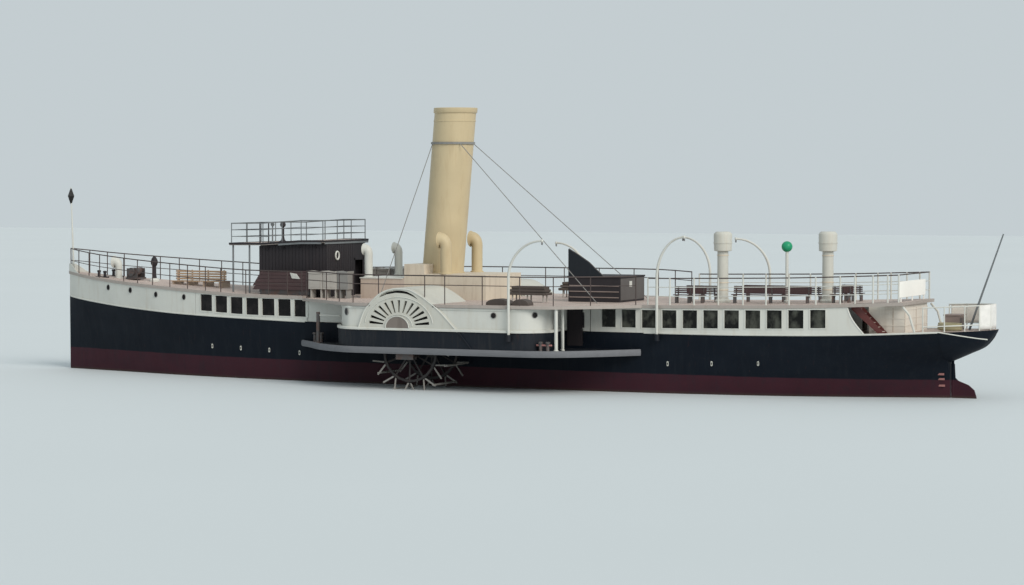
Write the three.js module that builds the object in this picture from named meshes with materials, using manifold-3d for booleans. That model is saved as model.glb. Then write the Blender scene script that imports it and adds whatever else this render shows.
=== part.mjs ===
import * as THREE from 'three';
import { mergeVertices } from 'three/addons/utils/BufferGeometryUtils.js';
import Module from 'manifold-3d';

const wasm = await Module();
wasm.setup();

// Paddle steamer at half size.
// The ship's own metres are used below, and METRE turns them into model millimetres.
// +X is the bow, +Y is port, +Z is up, and z = 0 is the water.
const METRE = 500;
const GAP = 0.0008;

// Shaft, wheels and funnel
const SHAFT_X = -0.5;
const SHAFT_Z = 1.95;
const SHAFT_RADIUS = 0.16;
const RUNNING = 0.0017;
const WHEEL_RING = 1.5;
const WHEEL_TIP = 2.25;
const WHEEL_IN = 4.25;
const WHEEL_OUT = 6.75;
const WHEEL_ARMS = 11;
const SIDE_Y = 3.65;
const SPONSON_Y = 7.6;
const WELL_FORE = 2.05;
const WELL_AFT = -3.05;
const GUARD_Z = 1.98;
const GUARD_TOP = 2.2;
const FUNNEL_X = 0.98;
const FUNNEL_TOP = 14.75;
const FUNNEL_RADIUS = 1.12;
const FUNNEL_RAKE = 0.088;
const CASING_TOP = 5.85;
const CASING_HALF = 2.2;

// Hull sections, half widths at each height in ship metres
const HULL = [
  // x, keel z, floor, bilge, water, middle, upper, edge, edge z
  [25.05, -0.8, 0.04, 0.05, 0.06, 0.07, 0.08, 0.09, 4.2],
  [24.4, -1.5, 0.05, 0.09, 0.2, 0.28, 0.37, 0.46, 4.12],
  [22.5, -1.68, 0.08, 0.35, 0.68, 0.85, 1.0, 1.16, 3.92],
  [19.5, -1.68, 0.2, 0.9, 1.45, 1.72, 1.92, 2.1, 3.68],
  [15.5, -1.68, 0.6, 1.9, 2.45, 2.7, 2.85, 2.98, 3.46],
  [11, -1.68, 1.4, 2.85, 3.2, 3.36, 3.44, 3.5, 3.32],
  [6, -1.68, 2.1, 3.4, 3.6, 3.64, 3.65, 3.65, 3.2],
  [-6, -1.68, 2.1, 3.4, 3.6, 3.64, 3.65, 3.65, 3.1],
  [-11.5, -1.68, 1.7, 3.1, 3.5, 3.62, 3.64, 3.65, 3.08],
  [-16, -1.68, 1, 2.45, 3.1, 3.42, 3.52, 3.58, 3.08],
  [-20, -1.68, 0.5, 1.5, 2.4, 3, 3.2, 3.35, 3.12],
  [-23.5, -1.68, 0.2, 0.7, 1.35, 2.2, 2.65, 2.95, 3.2],
  [-26, -1.68, 0.1, 0.25, 0.5, 1.15, 2.05, 2.5, 3.3],
  [-27.35, -1.68, 0.07, 0.09, 0.1, 0.45, 1.6, 2.15, 3.36],
];
const COUNTER = [
  // x, bottom z, bottom half, side z, side half, edge half, edge z
  [-27.3, 1.75, 0.3, 2.55, 1.6, 2.16, 3.36],
  [-28.3, 2.2, 0.45, 2.75, 1.3, 1.75, 3.4],
  [-29.06, 2.56, 0.4, 2.9, 0.95, 1.25, 3.43],
  [-29.45, 2.95, 0.3, 3.12, 0.6, 0.75, 3.45],
  [-29.72, 3.35, 0.1, 3.4, 0.2, 0.28, 3.47],
];

// Promenade deck edge, with the half width at the ship's side
const DECK = [
  // x, top z, half width
  [25.1, 5.62, 0.1],
  [24.4, 5.54, 0.52],
  [22.5, 5.33, 1.28],
  [19.5, 5.1, 2.2],
  [15.5, 4.86, 3.06],
  [11, 4.64, 3.56],
  [7.62, 4.6, 3.7],
  [7.6, 4.5, 3.7],
  [-12.2, 4.5, 3.7],
  [-16, 4.55, 3.62],
  [-20, 4.62, 3.4],
  [-23.5, 4.74, 3.02],
  [-25.7, 4.83, 2.66],
];
const DECK_STEP = 7.6;
const DECK_END = -25.7;
const DECK_THICK = 0.16;
const DECK_MID = 4.5;
const DECK_UNDER = DECK_MID - DECK_THICK - GAP;

const root = new THREE.Group();
root.name = 'paddle_steamer';

const FINISH = {
  navy: [0x18222e, 0.45, 0.1],
  white: [0xc8c8c0, 0.5, 0.05],
  cream: [0xc8bcaf, 0.55, 0.05],
  buff: [0xcdb98c, 0.5, 0.05],
  dark: [0x2a2320, 0.6, 0.1],
  grey: [0x7f8282, 0.6, 0.2],
  deck: [0x8a7a63, 0.8, 0],
  brown: [0x6e4641, 0.7, 0],
  iron: [0x3a3c3e, 0.7, 0.5],
  green: [0x239165, 0.5, 0.05],
};

// Value at x in a table whose first column falls from bow to stern
function along(table, column, x) {
  for (let i = 1; i < table.length; i += 1) {
    if (x >= table[i][0]) {
      const t = (x - table[i][0]) / (table[i - 1][0] - table[i][0]);
      const s = Math.min(t, 1);
      return table[i][column] * (1 - s) + table[i - 1][column] * s;
    }
  }
  return table[table.length - 1][column];
}

// Where a foot of the given reach stands on the sloping deck
function standing(x, reach) {
  return Math.max(along(DECK, 1, x - reach), along(DECK, 1, x + reach)) + GAP;
}

// The same on the main deck, the hull's top
function mainDeck(x, reach) {
  const at = (u) => (u > -27.35 ? along(HULL, 8, u) : along(COUNTER, 6, u));
  return Math.max(at(x - reach), at(x + reach)) + GAP;
}

// A closed body from a geometry in ship metres
function body(geometry) {
  const bare = new THREE.BufferGeometry();
  bare.setAttribute('position', geometry.getAttribute('position'));
  if (geometry.index) bare.setIndex(geometry.index);
  const merged = mergeVertices(bare, 1e-5);
  const points = new Float32Array(merged.getAttribute('position').array);
  const faces = new Uint32Array(merged.index.array);
  if (enclosed(points, faces) < 0) turnFaces(faces);
  return new wasm.Manifold(
    new wasm.Mesh({ numProp: 3, vertProperties: points, triVerts: faces }),
  );
}

// Six times the volume that the faces enclose, negative when they look inwards
function enclosed(points, faces) {
  const at = (i) => new THREE.Vector3(points[3 * i], points[3 * i + 1], points[3 * i + 2]);
  let sum = 0;
  for (let i = 0; i < faces.length; i += 3) {
    sum += at(faces[i]).dot(at(faces[i + 1]).cross(at(faces[i + 2])));
  }
  return sum;
}

function turnFaces(faces) {
  for (let i = 0; i < faces.length; i += 3) {
    [faces[i + 1], faces[i + 2]] = [faces[i + 2], faces[i + 1]];
  }
}

function joined(list) {
  return list.reduce((sum, next) => sum.add(next));
}

function geometryOf(manifold, flip = false) {
  const mesh = manifold.getMesh();
  const points = Float32Array.from(mesh.vertProperties);
  const faces = Uint32Array.from(mesh.triVerts);
  for (let i = 0; i < points.length; i += 3) {
    points[i] *= METRE;
    points[i + 1] *= flip ? -METRE : METRE;
    points[i + 2] *= METRE;
  }
  if (flip) turnFaces(faces);
  const geometry = new THREE.BufferGeometry();
  geometry.setAttribute('position', new THREE.BufferAttribute(points, 3));
  geometry.setIndex(new THREE.BufferAttribute(faces, 1));
  geometry.computeVertexNormals();
  return geometry;
}

function put(name, manifold, finish, flip = false) {
  const [colour, roughness, metalness] = FINISH[finish];
  const material = new THREE.MeshStandardMaterial({ color: colour, roughness, metalness });
  const mesh = new THREE.Mesh(geometryOf(manifold, flip), material);
  mesh.name = name;
  root.add(mesh);
}

// The same piece on both sides, built to port
function putBoth(name, manifold, finish) {
  put(`${name}_port`, manifold, finish);
  put(`${name}_starboard`, manifold, finish, true);
}

function box(x0, x1, y0, y1, z0, z1) {
  const g = new THREE.BoxGeometry(x1 - x0, y1 - y0, z1 - z0);
  g.translate((x0 + x1) / 2, (y0 + y1) / 2, (z0 + z1) / 2);
  return body(g);
}

// Plan outline [x, y] drawn up from z0 to z1
function plan(points, z0, z1, holes = []) {
  const shape = new THREE.Shape(points.map(([x, y]) => new THREE.Vector2(x, y)));
  holes.forEach((h) => shape.holes.push(new THREE.Path(h.map(([x, y]) => new THREE.Vector2(x, y)))));
  const g = new THREE.ExtrudeGeometry(shape, { depth: z1 - z0, bevelEnabled: false });
  g.translate(0, 0, z0);
  return body(g);
}

// Side outline [x, z] given a thickness from y0 out to y1
function side(points, y0, y1, holes = []) {
  const shape = new THREE.Shape(points.map(([x, z]) => new THREE.Vector2(x, z)));
  holes.forEach((h) => shape.holes.push(new THREE.Path(h.map(([x, z]) => new THREE.Vector2(x, z)))));
  const g = new THREE.ExtrudeGeometry(shape, { depth: y1 - y0, bevelEnabled: false });
  g.rotateX(Math.PI / 2);
  g.translate(0, y1, 0);
  return body(g);
}

// Closed skin through rings that hold the same number of points
function loft(rings) {
  const n = rings[0].length;
  const points = rings.flat(2);
  const faces = [];
  for (let r = 0; r + 1 < rings.length; r += 1) {
    for (let i = 0; i < n; i += 1) {
      const a = r * n + i;
      const b = r * n + ((i + 1) % n);
      faces.push(a, b, a + n, b, b + n, a + n);
    }
  }
  const last = (rings.length - 1) * n;
  for (let i = 1; i + 1 < n; i += 1) {
    faces.push(0, i + 1, i);
    faces.push(last, last + i, last + i + 1);
  }
  const g = new THREE.BufferGeometry();
  g.setAttribute('position', new THREE.BufferAttribute(new Float32Array(points), 3));
  g.setIndex(faces);
  return body(g);
}

// Round bar along points that lie in the plane square to one direction
function sweep(points, square, radius, around) {
  const flat = new THREE.Vector3(...square);
  const at = points.map((p) => new THREE.Vector3(...p));
  const rings = at.map((p, i) => {
    const way = new THREE.Vector3().subVectors(at[Math.min(i + 1, at.length - 1)], at[Math.max(i - 1, 0)]);
    const up = new THREE.Vector3().crossVectors(way.normalize(), flat);
    const ring = [];
    for (let k = 0; k < around; k += 1) {
      const a = (2 * Math.PI * k) / around;
      const q = p.clone().addScaledVector(flat, radius * Math.cos(a)).addScaledVector(up, radius * Math.sin(a));
      ring.push(q.toArray());
    }
    return ring;
  });
  return loft(rings);
}

// Straight round bar between two points
function rod(a, b, radius, around = 6, radiusEnd = radius) {
  const from = new THREE.Vector3(...a);
  const to = new THREE.Vector3(...b);
  const way = new THREE.Vector3().subVectors(to, from);
  const g = new THREE.CylinderGeometry(radiusEnd, radius, way.length(), around);
  const turn = new THREE.Quaternion().setFromUnitVectors(
    new THREE.Vector3(0, 1, 0),
    way.clone().normalize(),
  );
  g.applyQuaternion(turn);
  g.translate((a[0] + b[0]) / 2, (a[1] + b[1]) / 2, (a[2] + b[2]) / 2);
  return body(g);
}

// Round body turned about an upright axis, from [radius, z] pairs that start and end on it
function turned(profile, x, y, around = 16) {
  const g = new THREE.LatheGeometry(
    profile.map(([r, z]) => new THREE.Vector2(r, z)),
    around,
  );
  g.rotateX(Math.PI / 2);
  g.translate(x, y, 0);
  return body(g);
}

// Davits, each in a cup on the ship's side
const DAVIT_RADIUS = 0.07;
const DAVIT_FOOT = 2.9;
const DAVITS = [
  // name, x, y, reach, top z, turn of the arm in degrees from the bow
  ['davit_fore_port', -6.58, 7.7, 1.95, 7.81, 175],
  ['davit_mid_port', -13.1, 3.87, 1.55, 7.98, 175],
  ['davit_fore_starboard', -3.95, -7.7, 1.75, 7.34, -5],
  ['davit_mid_starboard', -13, -3.87, 1.8, 7.8, -14],
  ['davit_aft_starboard', -16.4, -3.8, 1.8, 7.77, 25],
];

function cup(x, y) {
  const inner = Math.sign(y) * (Math.abs(y) - 0.42);
  const outer = Math.sign(y) * (Math.abs(y) + 0.12);
  return box(x - 0.12, x + 0.12, Math.min(inner, outer), Math.max(inner, outer), 2.7, 3.04);
}

function cupHole(x, y) {
  return rod([x, y, DAVIT_FOOT - GAP], [x, y, 3.2], DAVIT_RADIUS + 0.0035, 16);
}

// Rudder stock in its trunk
const STOCK_X = -27.48;
const STOCK_RADIUS = 0.06;

// Hull

function hullRing(row) {
  const [x, keel, floor, bilge, water, middle, upper, edge, top] = row;
  const half = [
    [floor, keel + 0.05],
    [bilge, keel + 0.62],
    [water, 0],
    [middle, top * 0.5],
    [upper, top * 0.78],
    [edge, top],
  ];
  const port = half.map(([y, z]) => [x, y, z]);
  const starboard = half.map(([y, z]) => [x, -y, z]).reverse();
  return [[x, 0, keel], ...port, [x, 0, top], ...starboard];
}

function counterRing(row) {
  const [x, low, lowHalf, sideZ, sideHalf, edgeHalf, top] = row;
  return [
    [x, 0, low],
    [x, lowHalf, low + 0.02],
    [x, sideHalf, sideZ],
    [x, edgeHalf, top],
    [x, 0, top],
    [x, -edgeHalf, top],
    [x, -sideHalf, sideZ],
    [x, -lowHalf, low + 0.02],
  ];
}

// A well whose sides stay a set distance inside the hull's edge
function wellOutline(stations, inset) {
  const port = stations.map((x) => [x, along(HULL, 7, x) - inset]);
  const starboard = stations.map((x) => [x, inset - along(HULL, 7, x)]).reverse();
  return [...port, ...starboard];
}

const FLOOR_Z = 2.3;
const DOOR_FORE = -8;
const DOOR_AFT = -8.92;
const FORE_SALOON = [14.7, 11, 7.5];
const AFT_SALOON = [-9.3, -16, -20, -22.3];
const CASING_X = [7.3, 0, -9.1];

function buildHull() {
  const sides = DAVITS.filter(([, , y]) => Math.abs(y) < 5);
  const skin = joined([
    loft(HULL.map(hullRing)),
    loft(COUNTER.map(counterRing)),
    ...sides.map(([, x, y]) => cup(x, y)),
  ]);
  const cuts = [FORE_SALOON, CASING_X, AFT_SALOON].map((xs) =>
    plan(wellOutline(xs, 0.4), FLOOR_Z, 5),
  );
  cuts.push(...sides.map(([, x, y]) => cupHole(x, y)));
  cuts.push(rod([STOCK_X, 0, 1.5], [STOCK_X, 0, 2.3], STOCK_RADIUS + RUNNING, 36));
  cuts.push(box(-5.2, 6.4, -2.3, 2.3, -1.2, 5));
  cuts.push(box(DOOR_AFT, DOOR_FORE, -4.5, 4.5, FLOOR_Z, 5));
  cuts.push(rod([SHAFT_X, -4, SHAFT_Z], [SHAFT_X, 4, SHAFT_Z], SHAFT_RADIUS + RUNNING, 36));
  return skin.subtract(joined(cuts));
}

put('hull', buildHull(), 'navy');

// White strake of the closed bow, up to the deck's underside

function sideRing(x) {
  const low = along(HULL, 8, x) + GAP;
  const high = along(DECK, 1, x) - DECK_THICK - GAP;
  const lowHalf = along(HULL, 7, x) - 0.004;
  const highHalf = along(DECK, 2, x) - 0.05;
  return [
    [x, lowHalf, low],
    [x, highHalf, high],
    [x, -highHalf, high],
    [x, -lowHalf, low],
  ];
}

put('forecastle', loft([25.04, 24.4, 22.5, 19.5, 15.5, 14.75].map(sideRing)), 'white');

// Side wall between two heights, as thick as its framing, with its windows cut
function wall(stations, thick, windows, lift = 0) {
  const rings = stations.map((x) => {
    const low = along(HULL, 8, x) + GAP + lift;
    const high = along(DECK, 1, x) - DECK_THICK - GAP;
    const lowHalf = along(HULL, 7, x) - 0.004;
    const highHalf = along(DECK, 2, x) - 0.05;
    return [
      [x, lowHalf - thick, low],
      [x, lowHalf, low],
      [x, highHalf, high],
      [x, highHalf - thick, high],
    ];
  });
  const panel = loft(rings);
  const cuts = windows.map(([x0, x1, z0, z1]) => box(x0, x1, 2, 4.5, z0, z1));
  return cuts.length ? panel.subtract(joined(cuts)) : panel;
}

const foreWindows = [];
for (let i = 0; i < 7; i += 1) {
  const x = 14.03 - i * 1.035;
  const z = along(DECK, 1, x) - 0.22;
  foreWindows.push([x - 0.33, x + 0.33, z - 0.88, z]);
}
putBoth('fore_saloon_side', wall([14.7, 11, 7.62, 7.6, 7.45], 0.12, foreWindows), 'white');

const aftWindows = [];
for (let i = 0; i < 11; i += 1) {
  const x = -10.35 - i * 1.112;
  const z = along(DECK, 1, x) - 0.3;
  aftWindows.push([x - 0.37, x + 0.37, z - 0.86, z]);
}
const sweptEnd = [
  [-22.9, 5], [-22.95, 4.5], [-23.1, 4.1], [-23.35, 3.7], [-23.75, 3.2], [-25, 3.2], [-25, 5],
];
const aftSide = wall([-9.35, -12.2, -16, -20, -23.5, -23.7], 0.12, aftWindows);
putBoth('aft_saloon_side', aftSide.subtract(side(sweptEnd, 2, 4)), 'white');

// Amidships wall between the hull and the paddle wheels
const casingOpenings = [[DOOR_AFT, DOOR_FORE, 2, 4.24]];
const LUGS = [3.2, 4.062];
const lugs = LUGS.map((z) => box(-9.02, DOOR_AFT, 3.58, 3.73, z, z + 0.06 - GAP));
putBoth('casing_side', joined([wall([7.4, -9.3], 0.12, casingOpenings), ...lugs]), 'white');

// Cross walls between the saloons and the engine casing
function crossWall(x, thick, doors) {
  const half = along(HULL, 7, x) - 0.42;
  const top = along(DECK, 1, x) - DECK_THICK - 0.02;
  const cuts = doors.map(([y0, y1]) => box(x - 1, x + 1, y0, y1, FLOOR_Z - 1, FLOOR_Z + 1.95));
  const panel = box(x - thick / 2, x + thick / 2, -half, half, FLOOR_Z + GAP, top);
  return cuts.length ? panel.subtract(joined(cuts)) : panel;
}

put('aft_bulkhead', crossWall(-22.2, 0.1, [[-2.3, -1.5]]), 'white');

// Engine and boiler as plain blocks

put('engine', box(-4.9, -0.9, -1.7, 1.7, -1.2 + GAP, 1.2), 'iron');
const saddles = [1.9, 5].map((x) => box(x, x + 0.3, -0.9, 0.9, -1.2 + GAP, -0.6));
put('boiler', joined([rod([1.2, 0, 0.32], [6, 0, 0.32], 1.45, 20), ...saddles]), 'iron');

// Sponsons: fore and aft wedges and the beam outside each wheel

const SPONSON_FORE = [
  [WELL_FORE, SPONSON_Y],
  [2.7, 7.55],
  [3.7, 7.15],
  [5.1, 6.2],
  [6.6, 4.6],
  [7.62, SIDE_Y + GAP],
];
const SPONSON_AFT = [
  [WELL_AFT, SPONSON_Y],
  [-7.3, SPONSON_Y],
  [-8.9, 7.1],
  [-10.4, 5.8],
  [-12.1, SIDE_Y + GAP],
];
const BULWARK_FORE = [[WELL_FORE, 7.6], [2.7, 7.52], [3.3, 7.15], [3.9, 6.4], [4.45, 5.3], [4.7, SIDE_Y + GAP]];
const BULWARK_AFT = [
  [WELL_AFT, 7.6], [-6.9, 7.6], [-7.45, 7.4], [-7.82, 7.03], [-8.2, 6.5], [-8.28, 6], [-8.1, 5], [-7.88, SIDE_Y + GAP],
];
const HULL_EDGE = SIDE_Y + GAP;
const SPONSON_TOP = 3.12;

function bollardPair(x, y, z) {
  const posts = [-0.2, 0.2].map((d) =>
    turned([[0, z - 0.1], [0.09, z - 0.1], [0.09, z + 0.4], [0.13, z + 0.42], [0.13, z + 0.5], [0, z + 0.5]], x + d, y, 8),
  );
  return joined([...posts, box(x - 0.4, x + 0.4, y - 0.13, y + 0.13, z - 0.1, z + 0.05)]);
}

// A wedge with its low platform and the higher bulwark block on it
function wedge(outline, block, wellX) {
  const low = plan([...outline, [wellX, HULL_EDGE]], GUARD_Z, GUARD_TOP);
  return low.add(plan([...block, [wellX, HULL_EDGE]], GUARD_Z, SPONSON_TOP));
}

function sponsonBeam() {
  const beam = box(WELL_AFT - 0.1, WELL_FORE + 0.1, 7.3, SPONSON_Y, GUARD_Z, SPONSON_TOP);
  const bearing = box(SHAFT_X - 0.5, SHAFT_X + 0.5, 6.95, 7.4, SHAFT_Z - 0.35, SHAFT_Z + 0.45);
  const hole = rod([SHAFT_X, 6.5, SHAFT_Z], [SHAFT_X, 7.25, SHAFT_Z], SHAFT_RADIUS + RUNNING, 36);
  return beam.add(bearing).subtract(hole);
}

// Pillars that carry the deck over the recess, and the post ahead of the wheel
const PILLARS = [
  // x, y, radius, foot z, top z
  [-8.86, 6.9, 0.09, GUARD_TOP - 0.05, DECK_UNDER],
  [-8.84, 6, 0.06, GUARD_TOP - 0.05, DECK_UNDER],
  [-8.7, 5.8, 0.06, GUARD_TOP - 0.05, DECK_UNDER],
  [5.75, 5.3, 0.1, GUARD_TOP - 0.05, 3.85],
];

function sponson(davitX) {
  const hole = cupHole(davitX, DAVITS[0][2]);
  return joined([
    wedge(SPONSON_FORE, BULWARK_FORE, WELL_FORE),
    wedge(SPONSON_AFT, BULWARK_AFT, WELL_AFT),
    sponsonBeam(),
    bollardPair(6.3, 4.3, GUARD_TOP),
    bollardPair(-8.3, 7.12, GUARD_TOP),
    cup(davitX, DAVITS[0][2]),
    ...PILLARS.map(([x, y, r, foot, top]) => rod([x, y, foot], [x, y, top], r, 8)),
  ]).subtract(hole);
}
put('sponson_port', sponson(DAVITS[0][1]), 'navy');
put('sponson_starboard', sponson(DAVITS[2][1]), 'navy', true);

// Paddle box: a face with its fan of vents and a curved roof

const FACE_IN = 7.42;

// Edge of the box seen from the side, steeper towards the bow
const BOX_EDGE = [
  // x, z
  [2.12, 3.12],
  [2, 3.5],
  [1.78, 4.04],
  [1.35, 4.55],
  [0.9, 4.94],
  [0.43, 5.17],
  [-0.17, 5.28],
  [-0.77, 5.25],
  [-1.42, 4.99],
  [-1.97, 4.65],
  [-2.56, 4.22],
  [-3.35, 3.44],
  [-3.67, 3.12],
];

// The box's edge moved out square to itself, and level where it ends
function boxEdge(out) {
  return BOX_EDGE.map(([x, z], i) => {
    const a = BOX_EDGE[Math.max(i - 1, 0)];
    const b = BOX_EDGE[Math.min(i + 1, BOX_EDGE.length - 1)];
    const dx = b[0] - a[0];
    const dz = b[1] - a[1];
    const length = Math.hypot(dx, dz);
    if (i === 0) return [x + out, z];
    if (i === BOX_EDGE.length - 1) return [x - out, z];
    return [x + (dz / length) * out, z - (dx / length) * out];
  });
}

// The slot bent under the box's top, as a line with its half height
const CRESCENT = [
  // x, z, half height
  [0.88, 4.8, 0.01],
  [0.73, 4.9, 0.05],
  [0.43, 5.03, 0.065],
  [-0.07, 5.12, 0.07],
  [-0.5, 5.1, 0.07],
  [-0.77, 5.05, 0.065],
  [-1.1, 4.91, 0.05],
  [-1.37, 4.74, 0.01],
];

// The fan spreads as an oval under it
const FAN_X = -0.28;
const FAN_Z = 3.36;
const FAN_OUTER = [1.76, 1.32];
const FAN_INNER = [0.92, 0.68];
const FAN_SLOTS = 13;
const SLOT_HALF = 0.075;

function fanSlot(angle) {
  const at = ([wide, high], d) => [
    FAN_X + wide * Math.cos(angle) - d * Math.sin(angle),
    FAN_Z + high * Math.sin(angle) + d * Math.cos(angle),
  ];
  return [
    at(FAN_INNER, -SLOT_HALF * 0.5),
    at(FAN_OUTER, -SLOT_HALF),
    at(FAN_OUTER, SLOT_HALF),
    at(FAN_INNER, SLOT_HALF * 0.5),
  ];
}

function boxFace() {
  const crescent = [1, -1].map((way) => CRESCENT.map(([x, z, half]) => [x, z + way * half]));
  const slots = [[...crescent[0], ...crescent[1].reverse()]];
  for (let i = 0; i < FAN_SLOTS; i += 1) {
    slots.push(fanSlot((Math.PI * (i + 0.5)) / FAN_SLOTS));
  }
  return side(BOX_EDGE, FACE_IN, SPONSON_Y, slots);
}

function boxRoof() {
  return side([...BOX_EDGE, ...boxEdge(-0.1).reverse()], SIDE_Y + 0.06, FACE_IN + 0.05);
}
const underBox = box(-4, 4, 3, 8, 2, SPONSON_TOP + GAP);
putBoth('paddle_box', boxFace().add(boxRoof()).subtract(underBox), 'white');

// Houses on the sponsons

function houseStrip(points, thick, z0, z1) {
  const outer = points;
  const inner = points.map(([x, y], i) => {
    const a = points[Math.max(i - 1, 0)];
    const b = points[Math.min(i + 1, points.length - 1)];
    const dx = b[0] - a[0];
    const dy = b[1] - a[1];
    const length = Math.hypot(dx, dy);
    return [x - (dy / length) * -thick * -1, y + (dx / length) * -thick * -1];
  });
  return plan([...outer, ...inner.reverse()], z0, z1);
}

function sponsonHouse(points) {
  return houseStrip(points, 0.12, SPONSON_TOP + GAP, DECK_UNDER).subtract(besideBox);
}

const besideBox = side(boxEdge(0.012), 3.7, 7.7);
const foreHouse = [[1.45, 7.5], [2.7, 7.42], [3.25, 7], [3.75, 6.3], [4.25, 5.3], [4.5, 3.8]];
putBoth('sponson_house_fore', sponsonHouse(foreHouse), 'white');
const aftHouse = [
  [-7.8, 3.8], [-8, 5], [-8.18, 6], [-8.1, 6.5], [-7.75, 7], [-7.4, 7.33], [-6.9, 7.5], [-2.3, 7.5],
];
putBoth('sponson_house_aft', sponsonHouse(aftHouse), 'white');

// Promenade decks

function deckRing(x) {
  const top = along(DECK, 1, x);
  const half = along(DECK, 2, x);
  return [
    [x, half, top - DECK_THICK],
    [x, half, top],
    [x, -half, top],
    [x, -half, top - DECK_THICK],
  ];
}

// Long furniture on short feet, one to each side
function furniture(x0, x1, y0, y1, z0, z1) {
  const feet = [x0 + 0.1, x1 - 0.2].map((x) =>
    box(x, x + 0.1, y0 + 0.05, y1 - 0.05, along(DECK, 1, x) - 0.08, z0 + 0.05),
  );
  const near = joined([box(x0, x1, y0, y1, z0, z1), ...feet]);
  return near.add(near.mirror([0, 1, 0]));
}

function deckFore() {
  const end = deckRing(7.62).map(([, y, z]) => [DECK_STEP + GAP, y, z]);
  const slab = loft([...[25.1, 24.4, 22.5, 19.5, 15.5, 11].map(deckRing), end]);
  const peak = side([[25.1, 5.5], [25.1, 5.86], [24.97, 6.05], [24.73, 6.05], [24.4, 5.4]], -0.1, 0.1);
  const bitts = [0.7, -0.7].map((y) => bollardPair(22.9, y, standing(22.9, 0)));
  return joined([
    slab,
    peak,
    ...bitts,
    cowl(21.8, 0, 5.2, 6.41, 0.13, 0.24),
    rod([19.36, 0, 5], [19.36, 0, 6.54], 0.15, 8),
    furniture(7.75, 10.9, 2.8, 3.28, 4.96, 5.88),
  ]);
}
put('promenade_deck_fore', deckFore(), 'deck');

const midOutline = [
  [7.6, 3.7],
  [5.4, 5.3],
  [4, 6.6],
  [3.1, 7.3],
  [2.3, 7.6],
  [-7.2, 7.6],
  [-8.9, 7.1],
  [-10.4, 5.8],
  [-11.8, 4.2],
  [-12.2, 3.7],
];
const midFull = [...midOutline, ...midOutline.map(([x, y]) => [x, -y]).reverse()];

function deckMid() {
  const slab = plan(midFull, DECK_MID - DECK_THICK, DECK_MID);
  const bulge = side(boxEdge(0.02), 3.7, 9);
  const shaftwell = box(-2.45, 4.6, -2, 2, 4, 5);
  const bare = slab.subtract(joined([bulge, bulge.mirror([0, 1, 0]), shaftwell]));
  const stack = furniture(-6.86, -4.91, 2.9, 3.6, 4.82, 5.43);
  return joined([bare, stack, furniture(5.02, 7.42, 2.75, 3.45, 4.98, 5.98)]);
}
put('promenade_deck_mid', deckMid(), 'deck');

function deckAft() {
  const slab = loft([-12.2 - GAP, -16, -20, -23.5, DECK_END].map(deckRing));
  const seats = [[-14.6, -12.9], [-20.3, -16.1], [-22.5, -21.4]].map(([x0, x1]) =>
    furniture(x0, x1, 0.75, 1.2, standing((x0 + x1) / 2, 0) + 0.38, standing((x0 + x1) / 2, 0) + 0.85),
  );
  return joined([slab, ...seats]).subtract(box(-24.5, -22.9, 1.9, 2.66, 4, 5));
}
put('promenade_deck_aft', deckAft(), 'deck');

// Funnel and its casing

function casing() {
  const shell = box(-2.65, 2.2, -CASING_HALF, CASING_HALF, DECK_MID + GAP, CASING_TOP);
  const raised = box(1, 2.2, -CASING_HALF, CASING_HALF, CASING_TOP - 0.1, 6.36);
  const inside = box(-2.45, 2.08, -2, 2, 4, CASING_TOP - 0.1);
  const top = 6.6 - CASING_TOP;
  const round = rod(
    [FUNNEL_X + 0.2 * FUNNEL_RAKE, 0, CASING_TOP - 0.2],
    [FUNNEL_X - top * FUNNEL_RAKE, 0, CASING_TOP + top],
    FUNNEL_RADIUS + 0.02,
    28,
  );
  return shell.add(raised.subtract(round)).subtract(inside);
}
put('funnel_casing', casing(), 'buff');

const FORE_CASING_TOP = 5.6;
const foreCasing = box(2.2 + GAP, 4.85, -CASING_HALF, CASING_HALF, DECK_MID + GAP, FORE_CASING_TOP);
put('fore_casing', foreCasing.subtract(box(2.32, 4.6, -2, 2, 4, FORE_CASING_TOP - 0.1)), 'white');

function funnel() {
  const height = FUNNEL_TOP - CASING_TOP;
  const wallThick = 0.08;
  const g = new THREE.LatheGeometry(
    [
      [FUNNEL_RADIUS - wallThick, 0],
      [FUNNEL_RADIUS, 0],
      [FUNNEL_RADIUS, height - 0.3],
      [FUNNEL_RADIUS + 0.06, height - 0.27],
      [FUNNEL_RADIUS + 0.06, height],
      [FUNNEL_RADIUS - wallThick, height],
      [FUNNEL_RADIUS - wallThick, 0],
    ].map(([r, z]) => new THREE.Vector2(r, z)),
    28,
  );
  g.rotateX(Math.PI / 2);
  const at = g.getAttribute('position');
  for (let i = 0; i < at.count; i += 1) {
    at.setX(i, at.getX(i) + FUNNEL_X - at.getZ(i) * FUNNEL_RAKE);
    at.setZ(i, at.getZ(i) + CASING_TOP + GAP);
  }
  return body(g);
}
put('funnel', funnel(), 'buff');

// Ventilators with a hood facing the bow

function cowl(x, y, base, top, stem, mouth) {
  const pipe = turned([[0, base], [stem, base], [stem, top - mouth * 1.2], [0, top - mouth * 1.2]], x, y, 12);
  const hood = rod([x - stem, y, top - mouth * 1.6], [x + mouth * 0.9, y, top - mouth], stem * 0.9, 14, mouth);
  const hollow = rod([x, y, top - mouth * 1.35], [x + mouth * 1.2, y, top - mouth * 0.95], stem * 0.5, 14, mouth * 0.95);
  return pipe.add(hood).subtract(hollow);
}

putBoth('buff_ventilator', cowl(-0.15, 1.9, CASING_TOP + GAP, 8.08, 0.3, 0.42), 'buff');
putBoth('white_ventilator', cowl(4.6, 1.75, FORE_CASING_TOP + GAP, 7.42, 0.22, 0.3), 'white');

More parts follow.
